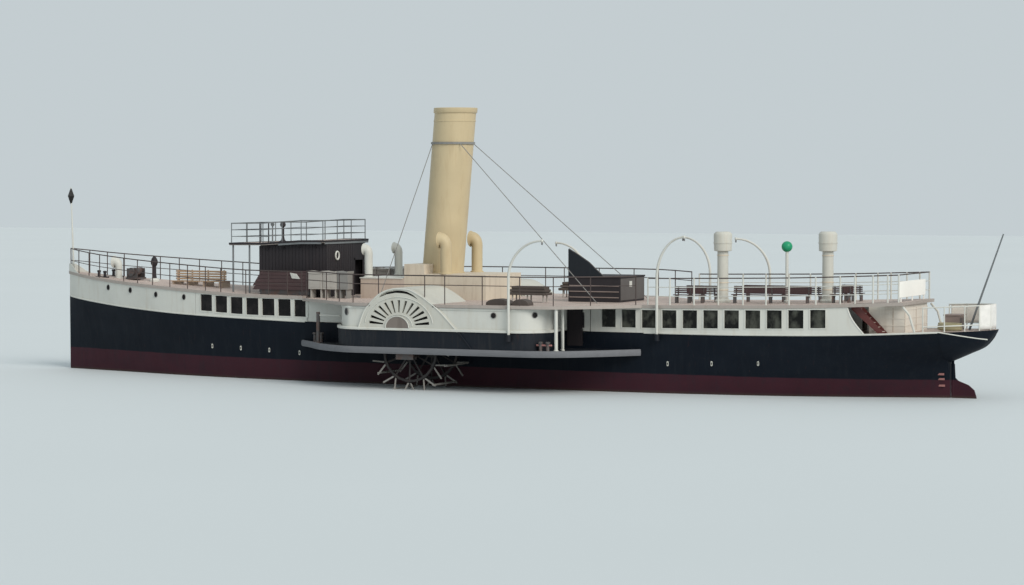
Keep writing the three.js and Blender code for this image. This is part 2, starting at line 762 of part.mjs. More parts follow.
const CAPPED = [
  // name, x, cap top z, finish
  ['tall_ventilator_fore', -15.2, 8.2, 'cream'],
  ['tall_ventilator_aft', -20.9, 8.25, 'cream'],
];
CAPPED.forEach(([name, x, top, finish]) => {
  const base = standing(x, 0.42);
  const profile = [
    [0, base], [0.42, base], [0.42, base + 0.12], [0.29, base + 0.18], [0.29, top - 1.0],
    [0.46, top - 1.0], [0.48, top - 0.15], [0.36, top], [0, top],
  ];
  put(name, turned(profile, x, 0, 18), finish);
});

function ballVent() {
  const x = -18.7;
  const base = standing(x, 0.16);
  const ball = new THREE.SphereGeometry(0.28, 14, 10);
  ball.rotateX(Math.PI / 2);
  ball.translate(x, 0, 7.46);
  const post = turned([[0, base], [0.16, base], [0.16, base + 0.1], [0.08, base + 0.14], [0.08, 7.3], [0, 7.3]], x, 0, 10);
  return post.add(body(ball));
}
put('ball_ventilator', ballVent(), 'green');

// Bridge house and the flying bridge over it

const BRIDGE_FORE = 11.1;
const BRIDGE_AFT = 6.95;
const BRIDGE_HALF = 2.2;
const PLATFORM_HALF = 2.5;
const LEG_Y = 2.35;
const PLATFORM_THICK = 0.12;
const PLATFORM = [
  // x, top z of the hogged platform
  [12.9, 7.39],
  [10.8, 7.41],
  [8.4, 7.57],
  [7.2, 7.58],
  [6.9, 7.57],
];

function bridgeHouse() {
  const under = (x) => along(PLATFORM, 1, x) - PLATFORM_THICK - GAP;
  const ends = [BRIDGE_AFT, 7.2, 8.4, 10.8, BRIDGE_FORE].map((x) => [x, under(x)]);
  const feet = [BRIDGE_FORE, 11].map((x) => [x, standing(x, 0)]);
  const step = [[DECK_STEP, standing(7.62, 0)], [7.59, DECK_MID + GAP], [BRIDGE_AFT, DECK_MID + GAP]];
  const outline = [...ends, ...feet, ...step];
  const shell = side(outline, -BRIDGE_HALF, BRIDGE_HALF);
  const half = BRIDGE_HALF - 0.12;
  const cuts = [box(BRIDGE_AFT + 0.12, BRIDGE_FORE - 0.12, -half, half, 4, 8)];
  cuts.push(box(BRIDGE_AFT - 1, BRIDGE_AFT + 1, -1.9, -1, 4, 6.45));
  [-1.5, -0.4, 0.7].forEach((y) => cuts.push(box(BRIDGE_FORE - 1, BRIDGE_FORE + 1, y, y + 0.8, 5.75, 6.6)));
  return shell.subtract(joined(cuts));
}
put('bridge_house', bridgeHouse(), 'dark');

const BINNACLE_X = 10.93;

function platform() {
  const above = PLATFORM.map(([x, z]) => [x, z]);
  const below = PLATFORM.map(([x, z]) => [x, z - PLATFORM_THICK]).reverse();
  const slab = side([...above, ...below], -PLATFORM_HALF, PLATFORM_HALF);
  const legs = [];
  [[12.74, LEG_Y], [12.74, -LEG_Y], [11.7, LEG_Y], [11.7, -LEG_Y]].forEach(([x, y]) => {
    legs.push(rod([x, y, standing(x, 0.05)], [x, y, along(PLATFORM, 1, x) - 0.05], 0.05, 6));
  });
  const z = along(PLATFORM, 1, BINNACLE_X);
  const profile = [[0, -0.05], [0.3, -0.05], [0.16, 0.4], [0.14, 0.95], [0.24, 1.05], [0.24, 1.2], [0, 1.45]];
  const binnacle = turned(profile.map(([r, h]) => [r, z + h]), BINNACLE_X, 0, 10);
  return joined([slab, binnacle, ...legs]);
}
put('flying_bridge', platform(), 'white');

// Open rail: posts with level bars that follow the points
function rail(points, height, bars, thick, closed = false) {
  const pieces = [];
  const list = closed ? [...points, points[0]] : points;
  points.forEach(([x, y, z, foot = z + GAP]) => {
    pieces.push(box(x - thick, x + thick, y - thick, y + thick, foot, z + height));
  });
  bars.forEach((h) => {
    for (let i = 0; i + 1 < list.length; i += 1) {
      const a = list[i];
      const b = list[i + 1];
      pieces.push(rod([a[0], a[1], a[2] + h], [b[0], b[1], b[2] + h], thick * 0.9, 4));
    }
  });
  return joined(pieces);
}

const railX = [7.05, 8.4, 9.6, 10.8, 12.8];
const bridgeRail = [
  ...railX.map((x) => [x, 2.42]),
  ...[0.8, -0.8].map((y) => [12.8, y]),
  ...railX.map((x) => [x, -2.42]).reverse(),
  ...[-0.8, 0.8].map((y) => [7.05, y]),
].map(([x, y]) => {
  const z = along(PLATFORM, 1, x);
  return [x, y, z, Math.max(z, along(PLATFORM, 1, x - 0.03), along(PLATFORM, 1, x + 0.03)) + GAP];
});
put('flying_bridge_rail', rail(bridgeRail, 1.12, [1.09, 0.73, 0.36], 0.03, true), 'white');

// Ship's side rails

function railPoints(stations, inset) {
  return stations.map((x) => [x, along(DECK, 2, x) - inset, along(DECK, 1, x), standing(x, 0.03)]);
}

function both(points) {
  return [...points, ...points.map(([x, y, ...rest]) => [x, -y, ...rest]).reverse()];
}

const bowStations = [7.9, 10.3, 12.7, 15.5, 18, 20.4, 22.5, 24.4];
put('bow_rail', rail(both(railPoints(bowStations, 0.1)), 1.35, [1.32, 0.64], 0.03), 'dark');
const aftStations = [-12.6, -16, -18.2, -20.4, -22.6, -24.2, -25.45];
put('aft_rail', rail(both(railPoints(aftStations, 0.1)), 1.4, [1.37, 0.7], 0.03), 'white');
function overArch(x) {
  return Math.max(DECK_MID, along(BOX_EDGE, 1, x - 0.03), along(BOX_EDGE, 1, x + 0.03)) + GAP;
}

const midStations = [
  [7.3, 3.78], [5.3, 5.2], [3.7, 6.7], [2.5, 7.4], [0.96, 7.48], [-1.72, 7.48], [-2.87, 7.48],
  [-5, 7.48], [-7.1, 7.48], [-8.75, 7], [-10.25, 5.75], [-11.95, 3.88],
].map(([x, y]) => [x, y, DECK_MID, overArch(x)]);
putBoth('mid_rail', rail(midStations, 1.5, [1.47, 1.0], 0.03), 'dark');

// Davit post with its bent arm

const DAVIT_BEND = 5.9;

function davit(x, y, reach, top, turn) {
  const dx = Math.cos((turn * Math.PI) / 180);
  const dy = Math.sin((turn * Math.PI) / 180);
  const points = [[x, y, DAVIT_FOOT], [x, y, DAVIT_BEND]];
  for (let i = 1; i <= 6; i += 1) {
    const a = (i / 6) * Math.PI * 0.5;
    const r = reach * (1 - Math.cos(a));
    points.push([x + dx * r, y + dy * r, DAVIT_BEND + (top - DAVIT_BEND) * Math.sin(a)]);
  }
  return sweep(points, [-dy, dx, 0], DAVIT_RADIUS, 8);
}
DAVITS.forEach(([name, ...sizes]) => put(name, davit(...sizes), 'white'));

// Paddle wheels left without their floats, and the shaft

// Point on a wheel's face at a radius and an angle
function onWheel(radius, angle, y) {
  return [SHAFT_X + radius * Math.cos(angle), y, SHAFT_Z + radius * Math.sin(angle)];
}

function ringPoints(radius, count) {
  const points = [];
  for (let i = 0; i < count; i += 1) {
    const [x, , z] = onWheel(radius, (2 * Math.PI * i) / count, 0);
    points.push([x, z]);
  }
  return points;
}

function wheelFrame(y) {
  const pieces = [
    side(ringPoints(WHEEL_RING + 0.06, 22), y - 0.05, y + 0.05, [ringPoints(WHEEL_RING - 0.06, 22)]),
    rod([SHAFT_X, y - 0.12, SHAFT_Z], [SHAFT_X, y + 0.12, SHAFT_Z], 0.42, 11),
  ];
  for (let i = 0; i < WHEEL_ARMS; i += 1) {
    const a = (2 * Math.PI * (i + 0.3)) / WHEEL_ARMS;
    pieces.push(rod(onWheel(0.2, a, y), onWheel(WHEEL_RING, a, y), 0.05, 4));
    pieces.push(rod(onWheel(WHEEL_RING - 0.03, a, y), onWheel(WHEEL_TIP, a + 0.17, y), 0.05, 3));
    pieces.push(rod(onWheel(WHEEL_RING - 0.03, a, y), onWheel(WHEEL_TIP, a - 0.17, y), 0.05, 3));
  }
  return joined(pieces);
}

function wheel() {
  const pieces = [wheelFrame(WHEEL_IN), wheelFrame(WHEEL_OUT)];
  for (let i = 0; i < WHEEL_ARMS; i += 1) {
    const a = (2 * Math.PI * (i + 0.3)) / WHEEL_ARMS - 0.15;
    pieces.push(rod(onWheel(WHEEL_TIP - 0.1, a, WHEEL_IN - 0.1), onWheel(WHEEL_TIP - 0.1, a, WHEEL_OUT + 0.1), 0.05, 4));
  }
  const bore = rod([SHAFT_X, 3, SHAFT_Z], [SHAFT_X, 8, SHAFT_Z], SHAFT_RADIUS + GAP, 36);
  return joined(pieces).subtract(bore);
}

putBoth('paddle_wheel', wheel(), 'grey');
put('paddle_shaft', rod([SHAFT_X, -7.22, SHAFT_Z], [SHAFT_X, 7.22, SHAFT_Z], SHAFT_RADIUS, 36), 'iron');

// Rudder on the sternpost

const rudderOutline = [
  [-27.4, 1.7], [-27.56, 1.7], [-27.6, 1], [-27.75, 0.86], [-28.27, 0.66], [-28.57, 0.41],
  [-28.68, 0.05], [-28.66, -0.4], [-28.5, -1.2], [-28.2, -1.6], [-27.4, -1.6],
];
const stock = rod([STOCK_X, 0, -1.55], [STOCK_X, 0, 2.2], STOCK_RADIUS, 36);
put('rudder', side(rudderOutline, -0.05, 0.05).add(stock), 'navy');

// After house, stern rail and stair

const AFTER_HOUSE_FORE = -23.7;
const AFTER_HOUSE_AFT = -25.55;
const AFTER_HOUSE_HALF = 1.9;

function afterHouse() {
  const shell = box(AFTER_HOUSE_AFT, AFTER_HOUSE_FORE, -AFTER_HOUSE_HALF, AFTER_HOUSE_HALF, 3, 5);
  const half = AFTER_HOUSE_HALF - 0.12;
  const room = box(AFTER_HOUSE_AFT + 0.12, AFTER_HOUSE_FORE - 0.12, -half, half, 2, 6);
  const line = [-23.5, -26].map((x) => [x, mainDeck(x, 0)]);
  const deckBelow = side([[-23.5, 2], ...line, [-26, 2]], -3, 3);
  const above = [-23.5, DECK_END].map((x) => [x, along(DECK, 1, x) - DECK_THICK - GAP]);
  const deckAbove = side([[-23.5, 6], ...above, [DECK_END, 6]], -3, 3);
  return shell.subtract(joined([room, deckBelow, deckAbove]));
}
put('after_house', afterHouse(), 'cream');

const sternPoints = [
  [-26.6, 2.3], [-27.6, 2.0], [-28.5, 1.55], [-29.1, 1.05], [-29.5, 0.45],
].map(([x, y]) => [x, y, mainDeck(x, 0.035)]);
put('stern_rail', rail(both(sternPoints), 1.15, [1.12, 0.3], 0.035), 'white');

function stair() {
  const steps = [];
  for (let i = 0; i < 6; i += 1) {
    const x = -24.6 + i * 0.24;
    const z = 3.3 + i * 0.22;
    steps.push(box(x, x + 0.3, 2.0, 2.55, z, z + 0.05));
  }
  const string = (y) => side([[-24.72, mainDeck(-24.72, 0)], [-24.4, mainDeck(-24.72, 0)], [-23.0, 4.44], [-23.0, 4.7], [-23.3, 4.7]], y, y + 0.05);
  return joined([...steps, string(1.97), string(2.53)]);
}
put('aft_stair', stair(), 'brown');

// Staffs

const diamond = turned([[0, 9.55], [0.21, 9.94], [0, 10.33]], 24.99, 0, 4);
put('jackstaff', rod([24.85, 0, 6.053], [25, 0, 10.45], 0.06, 8, 0.03).add(diamond), 'white');
put('flagstaff', rod([-28.3, 0, 3.4217], [-30, 0, 8.2], 0.06, 8, 0.035), 'white');

// Companion hood on deck aft of the funnel

const HOOD_HALF = 1.65;
const HOOD_TOP = 5.82;
const hoodOutline = [
  [-7.19, HOOD_TOP - 0.1],
  [-7.19, 7.26],
  [-7.76, 6.94],
  [-8.37, 6.55],
  [-8.8, 6.16],
  [-9.2, HOOD_TOP],
  [-9.2, HOOD_TOP - 0.1],
];
const hoodLow = box(-10.13, -7.19, -HOOD_HALF, HOOD_HALF, DECK_MID + GAP, HOOD_TOP);
put('companion_hood', hoodLow.add(side(hoodOutline, 0.95, HOOD_HALF)), 'dark');

// Winch on the fore deck

function winch() {
  const z = standing(20.6, 0.4) + 0.02;
  const drum = rod([20.6, -0.55, z + 0.4], [20.6, 0.55, z + 0.4], 0.24, 12);
  return joined([
    drum,
    box(20.25, 20.95, -0.42, -0.34, z - 0.02, z + 0.6),
    box(20.25, 20.95, 0.34, 0.42, z - 0.02, z + 0.6),
    box(20.2, 21, -0.45, 0.45, z - 0.02, z + 0.08),
  ]);
}
put('winch', winch(), 'iron');

// Doors in the recess abaft the sponson houses

const DOOR_HINGE = [-8.97, SIDE_Y + 0.04];
const knuckle = rod([...DOOR_HINGE, LUGS[0] + 0.06], [...DOOR_HINGE, LUGS[1] - GAP], 0.034, 10);
const strap = box(-8.97, -8.7, SIDE_Y + 0.012, SIDE_Y + 0.03, 3.4, 3.9);
const leaf = box(DOOR_AFT + 0.03, DOOR_FORE - 0.03, SIDE_Y - 0.04, SIDE_Y + 0.014, FLOOR_Z + 0.03, 4.2);
putBoth('recess_door', joined([leaf, strap, knuckle]), 'dark');

// Rings and stays that hold the funnel

const STAY_RADIUS = 0.022;

function stays() {
  const z = 12.85;
  const x = FUNNEL_X - (z - CASING_TOP) * FUNNEL_RAKE;
  const outline = (r) => {
    const points = [];
    for (let i = 0; i < 28; i += 1) {
      const a = (2 * Math.PI * i) / 28;
      points.push([x + r * Math.cos(a), r * Math.sin(a)]);
    }
    return points;
  };
  const band = plan(outline(FUNNEL_RADIUS + 0.07), z - 0.06, z + 0.06, [outline(FUNNEL_RADIUS + 0.012)]);
  const pieces = [band];
  [[1, 1], [1, -1], [-1, 1], [-1, -1]].forEach(([fx, fy]) => {
    const from = [x + fx * 0.8, fy * 0.83, z];
    const to = [fx > 0 ? 3.1 : -9.6, fy * 3.4, DECK_MID];
    const run = Math.hypot(to[0] - from[0], to[1] - from[1]);
    to[2] += (STAY_RADIUS * run) / Math.hypot(run, z - DECK_MID) + GAP;
    pieces.push(rod(from, to, STAY_RADIUS, 5));
  });
  return joined(pieces);
}
put('funnel_stays', stays(), 'iron');

export default root;
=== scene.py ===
"""Dresses the half-size paddle steamer with paint, planking, glass and fittings.

Sizes are in the full-size ship's metres, and SCALE brings them down to the model's.
+X is the bow, +Y is port, +Z is up, and z = 0 is the water.
"""

from __future__ import annotations

import logging
import math
from dataclasses import dataclass
from enum import Enum
from functools import cache
from typing import Callable, Sequence

import bmesh
import bpy
import numpy as np
from mathutils import Matrix, Vector

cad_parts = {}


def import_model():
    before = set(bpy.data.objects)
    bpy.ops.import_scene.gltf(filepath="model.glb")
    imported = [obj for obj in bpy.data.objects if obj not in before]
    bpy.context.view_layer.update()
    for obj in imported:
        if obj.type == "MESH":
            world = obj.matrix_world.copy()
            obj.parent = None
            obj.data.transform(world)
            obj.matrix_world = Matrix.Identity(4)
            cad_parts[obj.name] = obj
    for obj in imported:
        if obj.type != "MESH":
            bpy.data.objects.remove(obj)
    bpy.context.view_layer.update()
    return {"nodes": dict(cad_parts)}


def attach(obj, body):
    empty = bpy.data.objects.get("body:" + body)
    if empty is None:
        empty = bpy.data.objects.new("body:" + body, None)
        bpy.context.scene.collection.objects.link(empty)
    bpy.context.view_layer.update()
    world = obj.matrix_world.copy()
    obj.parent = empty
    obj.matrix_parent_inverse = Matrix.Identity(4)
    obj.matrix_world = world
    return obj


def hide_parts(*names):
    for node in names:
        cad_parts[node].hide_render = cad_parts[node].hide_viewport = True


Array = np.ndarray
Colour = tuple[float, float, float, float]
Pair = tuple[float, float]
Plan = tuple[Pair, ...]
log = logging.getLogger("steamer")

SCALE = 0.5
SHIP = "ship"
SIDES = (("port", 1), ("starboard", -1))
BOTH = np.array([1, -1])
MIRROR = np.array([1, -1, 1])

# Hull stations: x, keel, floor, bilge, water, middle, upper and edge half widths, edge height
HULL = np.array([
    [-27.35, -1.68, 0.07, 0.09, 0.10, 0.45, 1.60, 2.15, 3.36],
    [-26.0, -1.68, 0.10, 0.25, 0.50, 1.15, 2.05, 2.50, 3.30],
    [-23.5, -1.68, 0.20, 0.70, 1.35, 2.20, 2.65, 2.95, 3.20],
    [-20.0, -1.68, 0.50, 1.50, 2.40, 3.00, 3.20, 3.35, 3.12],
    [-16.0, -1.68, 1.00, 2.45, 3.10, 3.42, 3.52, 3.58, 3.08],
    [-11.5, -1.68, 1.70, 3.10, 3.50, 3.62, 3.64, 3.65, 3.08],
    [-6.0, -1.68, 2.10, 3.40, 3.60, 3.64, 3.65, 3.65, 3.10],
    [6.0, -1.68, 2.10, 3.40, 3.60, 3.64, 3.65, 3.65, 3.20],
    [11.0, -1.68, 1.40, 2.85, 3.20, 3.36, 3.44, 3.50, 3.32],
    [15.5, -1.68, 0.60, 1.90, 2.45, 2.70, 2.85, 2.98, 3.46],
    [19.5, -1.68, 0.20, 0.90, 1.45, 1.72, 1.92, 2.10, 3.68],
    [22.5, -1.68, 0.08, 0.35, 0.68, 0.85, 1.00, 1.16, 3.92],
    [24.4, -1.50, 0.05, 0.09, 0.20, 0.28, 0.37, 0.46, 4.12],
    [25.05, -0.80, 0.04, 0.05, 0.06, 0.07, 0.08, 0.09, 4.20],
])

# Counter stations: x, low z, low half, side z, side half, edge half, edge z
COUNTER = np.array([
    [-29.72, 3.35, 0.10, 3.40, 0.20, 0.28, 3.47],
    [-29.45, 2.95, 0.30, 3.12, 0.60, 0.75, 3.45],
    [-29.06, 2.56, 0.40, 2.90, 0.95, 1.25, 3.43],
    [-28.3, 2.20, 0.45, 2.75, 1.30, 1.75, 3.40],
    [-27.3, 1.75, 0.30, 2.55, 1.60, 2.16, 3.36],
])

# Promenade deck stations: x, top z, half width
DECK = np.array([
    [-25.7, 4.83, 2.66],
    [-23.5, 4.74, 3.02],
    [-20.0, 4.62, 3.40],
    [-16.0, 4.55, 3.62],
    [-12.2, 4.50, 3.70],
    [7.6, 4.50, 3.70],
    [7.62, 4.60, 3.70],
    [11.0, 4.64, 3.56],
    [15.5, 4.86, 3.06],
    [19.5, 5.10, 2.20],
    [22.5, 5.33, 1.28],
    [24.4, 5.54, 0.52],
    [25.1, 5.62, 0.10],
])
DECK_THICK = 0.16
DECK_MID = 4.5
DECK_UNDER = DECK_MID - DECK_THICK
DECK_STEP = 7.62
DECK_JOIN = -12.2
DECK_END = -25.7
FLOOR_Z = 2.3
DOOR_FORE = -8.0
DOOR_AFT = -8.92
GUARD_Z = 1.98
GUARD_TOP = 2.2
SPONSON_TOP = 3.12
SPONSON_Y = 7.6
SIDE_Y = 3.65
WELL_FORE = 2.05
WELL_AFT = -3.05
CASING_TOP = 5.85
FORE_CASING_TOP = 5.6

# Ring that holds a davit's foot: radius, height
DAVIT_RING = ((0.078, 2.7), (0.14, 2.7), (0.14, 3.04), (0.078, 3.04), (0.078, 2.7))


def srgb(code: int) -> Colour:
    """Linear colour with alpha from a screen colour, whose two last digits are its blue."""
    screen = np.array([code >> 16, (code >> 8) & 0xFF, code & 0xFF]) / 255
    linear = np.where(screen <= 0.04045, screen / 12.92, ((screen + 0.055) / 1.055) ** 2.4)
    return (*linear.tolist(), 1.0)


def spread(*parts: Array | float) -> Array:
    """Points from their coordinates, each an array or one number for all of them."""
    return np.stack(np.broadcast_arrays(*parts), -1)


def unit(vectors: Array) -> Array:
    """Each vector divided by its length."""
    return vectors / np.linalg.norm(vectors, axis=-1, keepdims=True)


def walked(line: Array) -> Array:
    """Length walked along a line up to each of its points."""
    return np.concatenate([[0], np.cumsum(np.linalg.norm(np.diff(line, axis=0), axis=1))])


def through(knots: Array, values: Array, at: Array) -> Array:
    """Smooth curve through values at rising knots.

    Each span is a cubic that leaves and meets its knots at the harmonic mean of the two chords there,
    or level where they point opposite ways, so it never passes the values beside it.

    Args:
        knots: rising places, n of them.
        values: n values, or n rows of values.
        at: where to work the curve out.

    Returns:
        One value, or one row, for each place.
    """
    rows = values.reshape(len(knots), -1)
    width = np.diff(knots)[:, None]
    chord = np.diff(rows, axis=0) / width
    before, after = chord[:-1], chord[1:]
    same = before * after > 0
    safe = np.where(same, before + after, 1.0)
    middle = np.where(same, 2 * before * after / safe, 0.0)
    slope = np.vstack([chord[:1], middle, chord[-1:]])
    i = np.clip(np.searchsorted(knots, at, side="right") - 1, 0, len(knots) - 2)
    step = width[i]
    t = np.clip((np.asarray(at)[:, None] - knots[i][:, None]) / step, 0, 1)
    start = (2 * t**3 - 3 * t**2 + 1) * rows[i] + (t**3 - 2 * t**2 + t) * step * slope[i]
    stop = (3 * t**2 - 2 * t**3) * rows[i + 1] + (t**3 - t**2) * step * slope[i + 1]
    return (start + stop).reshape((len(at),) + values.shape[1:])


def sections(x: Array, y: Array, z: Array, girth: int) -> Array:
    """Port halves of a loft: at each x, a smooth curve through that row's points.

    Args:
        x: the places along the ship, n of them.
        y: half widths (n, k), from the centreline outwards.
        z: heights (n, k).
        girth: how many points each curve gets.

    Returns:
        Points (n, girth, 3).
    """
    knots = np.arange(float(y.shape[1]))
    curve = through(knots, np.stack([y.T, z.T], 2), np.linspace(0, knots[-1], girth))
    return spread(x[:, None], curve[..., 0].T, curve[..., 1].T)


def whole(half: Array) -> Array:
    """Closed ring from the port half of a section that starts on the centreline."""
    return np.concatenate([half, (half * MIRROR)[:0:-1]])


def hull_edge(x: Array) -> Array:
    """Half width and height of the hull's upper edge at each x."""
    return through(HULL[:, 0], HULL[:, 7:9], np.atleast_1d(x))


def deck_edge(x: Array) -> Array:
    """Top height and half width of the promenade deck at each x."""
    return through(DECK[:, 0], DECK[:, 1:3], np.atleast_1d(x))


def deck_top(x: float) -> float:
    """Top height of the promenade deck at one x."""
    return float(deck_edge(x)[0, 0])


def over_step(x: Array) -> Array:
    """Places just abaft the step in the deck moved on to it, for walls that pass under the step."""
    return np.where((x > 7.0) & (x < DECK_STEP), DECK_STEP, x)


def main_deck(x: float) -> float:
    """Height of the main deck at one x, the counter's included."""
    if x < HULL[0, 0]:
        return float(np.interp(x, COUNTER[:, 0], COUNTER[:, 6]))
    return float(hull_edge(x)[0, 1])


def smooth_outline(points: Sequence[Sequence[float]], count: int) -> Array:
    """Rounded line through plan points, spaced evenly by the length walked along them."""
    line = np.array(points, float)
    length = walked(line)
    return through(length, line, np.linspace(0, length[-1], count))


def oval(
    centre: Sequence[float], reach: Sequence[float], count: int, angles: Pair | None = None,
) -> Array:
    """Points (count, 2) on an oval, from one angle to another or round the whole of it."""
    a = np.linspace(*angles, count) if angles else np.linspace(0, 2 * np.pi, count, endpoint=False)
    return np.asarray(centre) + np.asarray(reach) * spread(np.cos(a), np.sin(a))


def rings(ahead: Array, reference: Array, around: int) -> Array:
    """Round rings of radius 1, one square to each direction (n, 3).

    A side vector is the direction crossed with the reference, and an up vector is square to both; their
    sum by the cosine and the sine goes through a full circle.
    """
    side = unit(np.cross(ahead, reference))
    up = np.cross(side, ahead)
    a = np.linspace(0, 2 * np.pi, around, endpoint=False)[:, None]
    return side[:, None] * np.cos(a) + up[:, None] * np.sin(a)


class Shape:
    """Closed shapes worked out as numpy arrays and gathered into one mesh.

    Each method's tint says which of the piece's materials its faces have.
    """

    def __init__(self, name: str) -> None:
        """Starts an empty piece of that name."""
        self.name = name
        self.points: list[Array] = []
        self.loops: list[Array] = []
        self.totals: list[Array] = []
        self.tints: list[Array] = []
        self.count = 0

    def _add(self, points: Array, faces: Array, tint: int) -> None:
        """Adds points (n, 3) and faces (m, k) that count from those points."""
        self.points.append(np.array(points, float).reshape(-1, 3))
        self.loops.append((faces + self.count).ravel())
        self.totals.append(np.full(len(faces), faces.shape[1]))
        self.tints.append(np.full(len(faces), tint))
        self.count += len(self.points[-1])

    def grid(
        self, points: Array, wrap_u: bool = False, wrap_v: bool = False, tint: int = 0,
        keep: Array | None = None,
    ) -> None:
        """A surface of two parameters.

        Args:
            points: its points (u, v, 3).
            wrap_u: joins the last row to the first.
            wrap_v: joins the last column to the first.
            tint: its material.
            keep: which cells (u, v) stay, or None for all.
        """
        u, v = points.shape[:2]
        i, j = np.meshgrid(np.arange(u - (not wrap_u)), np.arange(v - (not wrap_v)), indexing="ij")
        if keep is not None:
            i, j = i[keep], j[keep]
        i, j = i.ravel(), j.ravel()
        k, m = (i + 1) % u, (j + 1) % v
        self._add(points, spread(i * v + j, k * v + j, k * v + m, i * v + m), tint)

    def cap(self, ring: Array, tint: int = 0) -> None:
        """One flat face over a ring of points (n, 3)."""
        self._add(ring, np.arange(len(ring))[None, :], tint)

    def solid(self, hoops: Array, tint: int = 0) -> None:
        """A skin carried from ring to ring (u, v, 3), with both ends closed."""
        self.grid(hoops, wrap_v=True, tint=tint)
        self.cap(hoops[0], tint)
        self.cap(hoops[-1], tint)

    def prism(self, outline: Sequence, low: float, high: float, axis: int = 2, tint: int = 0) -> None:
        """An outline (n, 2) in the plane square to an axis, carried between two places along it."""
        flat = np.insert(np.asarray(outline, float), axis, 0, axis=1)
        along = np.eye(3)[axis]
        self.solid(np.stack([flat + along * place for place in sorted((low, high))]), tint)

    def tube(
        self, path: Array, radius: float | Array, around: int = 8, tint: int = 0, loop: bool = False,
        bore: int = 0,
    ) -> None:
        """A round bar along a path (n, 3), with a ring square to the path at each point.

        Args:
            path: the middle line.
            radius: one, or one for each point.
            around: faces round the bar.
            tint: its material; a bore has the next one.
            loop: joins the end to the start.
            bore: how many rings the bore goes back from the far end.
        """
        path = np.asarray(path, float)
        ahead = unit(np.roll(path, -1, 0) - np.roll(path, 1, 0) if loop else np.gradient(path, axis=0))
        least = np.eye(3)[np.argmin(np.abs(ahead).max(0))]
        reach = np.broadcast_to(radius, (len(path),))[:, None, None] * rings(ahead, least, around)
        outside = path[:, None] + reach
        if loop:
            self.grid(outside, wrap_u=True, wrap_v=True, tint=tint)
        elif bore:
            wall = 0.93
            hollow = (path[:, None] + reach * wall)[::-1][:bore]
            self.grid(np.concatenate([outside, hollow[:1]]), wrap_v=True, tint=tint)
            self.cap(outside[0], tint)
            self.grid(hollow, wrap_v=True, tint=tint + 1)
            self.cap(hollow[-1], tint + 1)
        else:
            self.solid(outside, tint)

    def bars(self, starts: Sequence, ends: Sequence, radius: float, around: int = 6, tint: int = 0) -> None:
        """Many straight round bars at once, from starts (n, 3) to ends (n, 3)."""
        starts, ends = np.atleast_2d(starts).astype(float), np.atleast_2d(ends).astype(float)
        ahead = unit(ends - starts)
        reference = np.where(np.abs(ahead[:, 2:3]) > 0.9, [[1.0, 0, 0]], [[0, 0, 1.0]])
        ring = radius * rings(ahead, reference, around)
        both = np.stack([starts[:, None] + ring, ends[:, None] + ring], 1).reshape(-1, 3)
        base = np.arange(len(starts))[:, None] * 2 * around
        k = np.arange(around)
        m = (k + 1) % around
        self._add(both, (base[:, :, None] + spread(k, m, m + around, k + around)).reshape(-1, 4), tint)
        self._add(both, np.concatenate([base + k[::-1], base + around + k]), tint)

    def blocks(self, x: Sequence, y: Sequence, z: Sequence, tint: int = 0) -> None:
        """Square blocks between two places on each axis.

        Args:
            x: the two places, each one number or one for each block.
            y: the same across the ship.
            z: the same upwards.
            tint: their material.
        """
        ends = np.atleast_2d(spread(*x, *y, *z))
        one, two = ends[:, 0::2], ends[:, 1::2]
        lows, highs = np.minimum(one, two), np.maximum(one, two)
        pick = np.array([[i, j, k] for i in (0, 1) for j in (0, 1) for k in (0, 1)])
        points = lows[:, None] * (1 - pick) + highs[:, None] * pick
        sides = np.array([[0, 1, 3, 2], [4, 6, 7, 5], [0, 4, 5, 1], [2, 3, 7, 6], [0, 2, 6, 4], [1, 5, 7, 3]])
        base = np.arange(len(lows))[:, None, None] * 8
        self._add(points, (base + sides).reshape(-1, 4), tint)

    def turned(
        self, profile: Sequence, at: Sequence[float], around: int = 24, axis: int = 2, lean: float = 0.0,
        tint: int = 0,
    ) -> None:
        """A profile of (radius, height) pairs turned about an axis through a point.

        Args:
            profile: starts and ends on the axis for a closed shape.
            at: the point from which heights are measured.
            around: faces round the turn.
            axis: 0, 1 or 2.
            lean: how far it leans to -X for each metre of height.
            tint: its material.
        """
        radius, height = np.array(profile, float).T[:, :, None]
        first, second = [k for k in range(3) if k != axis]
        a = np.linspace(0, 2 * np.pi, around, endpoint=False)
        points = np.zeros((len(radius), around, 3))
        points[:, :, first] = radius * np.cos(a)
        points[:, :, second] = radius * np.sin(a)
        points[:, :, axis] = height
        points[:, :, 0] -= lean * height
        self.grid(points + np.asarray(at, float), wrap_v=True, tint=tint)

    def strip(self, line: Array, section: Sequence, tint: int = 0) -> None:
        """A moulding whose section (k, 2) of (outwards, up) is carried along a line (n, 3) seen in plan."""
        ahead = np.gradient(line, axis=0)
        out = unit(spread(-ahead[:, 1], ahead[:, 0], 0.0))
        section = np.asarray(section, float)
        self.solid(line[:, None] + out[:, None] * section[:, :1] + np.eye(3)[2] * section[:, 1:], tint)

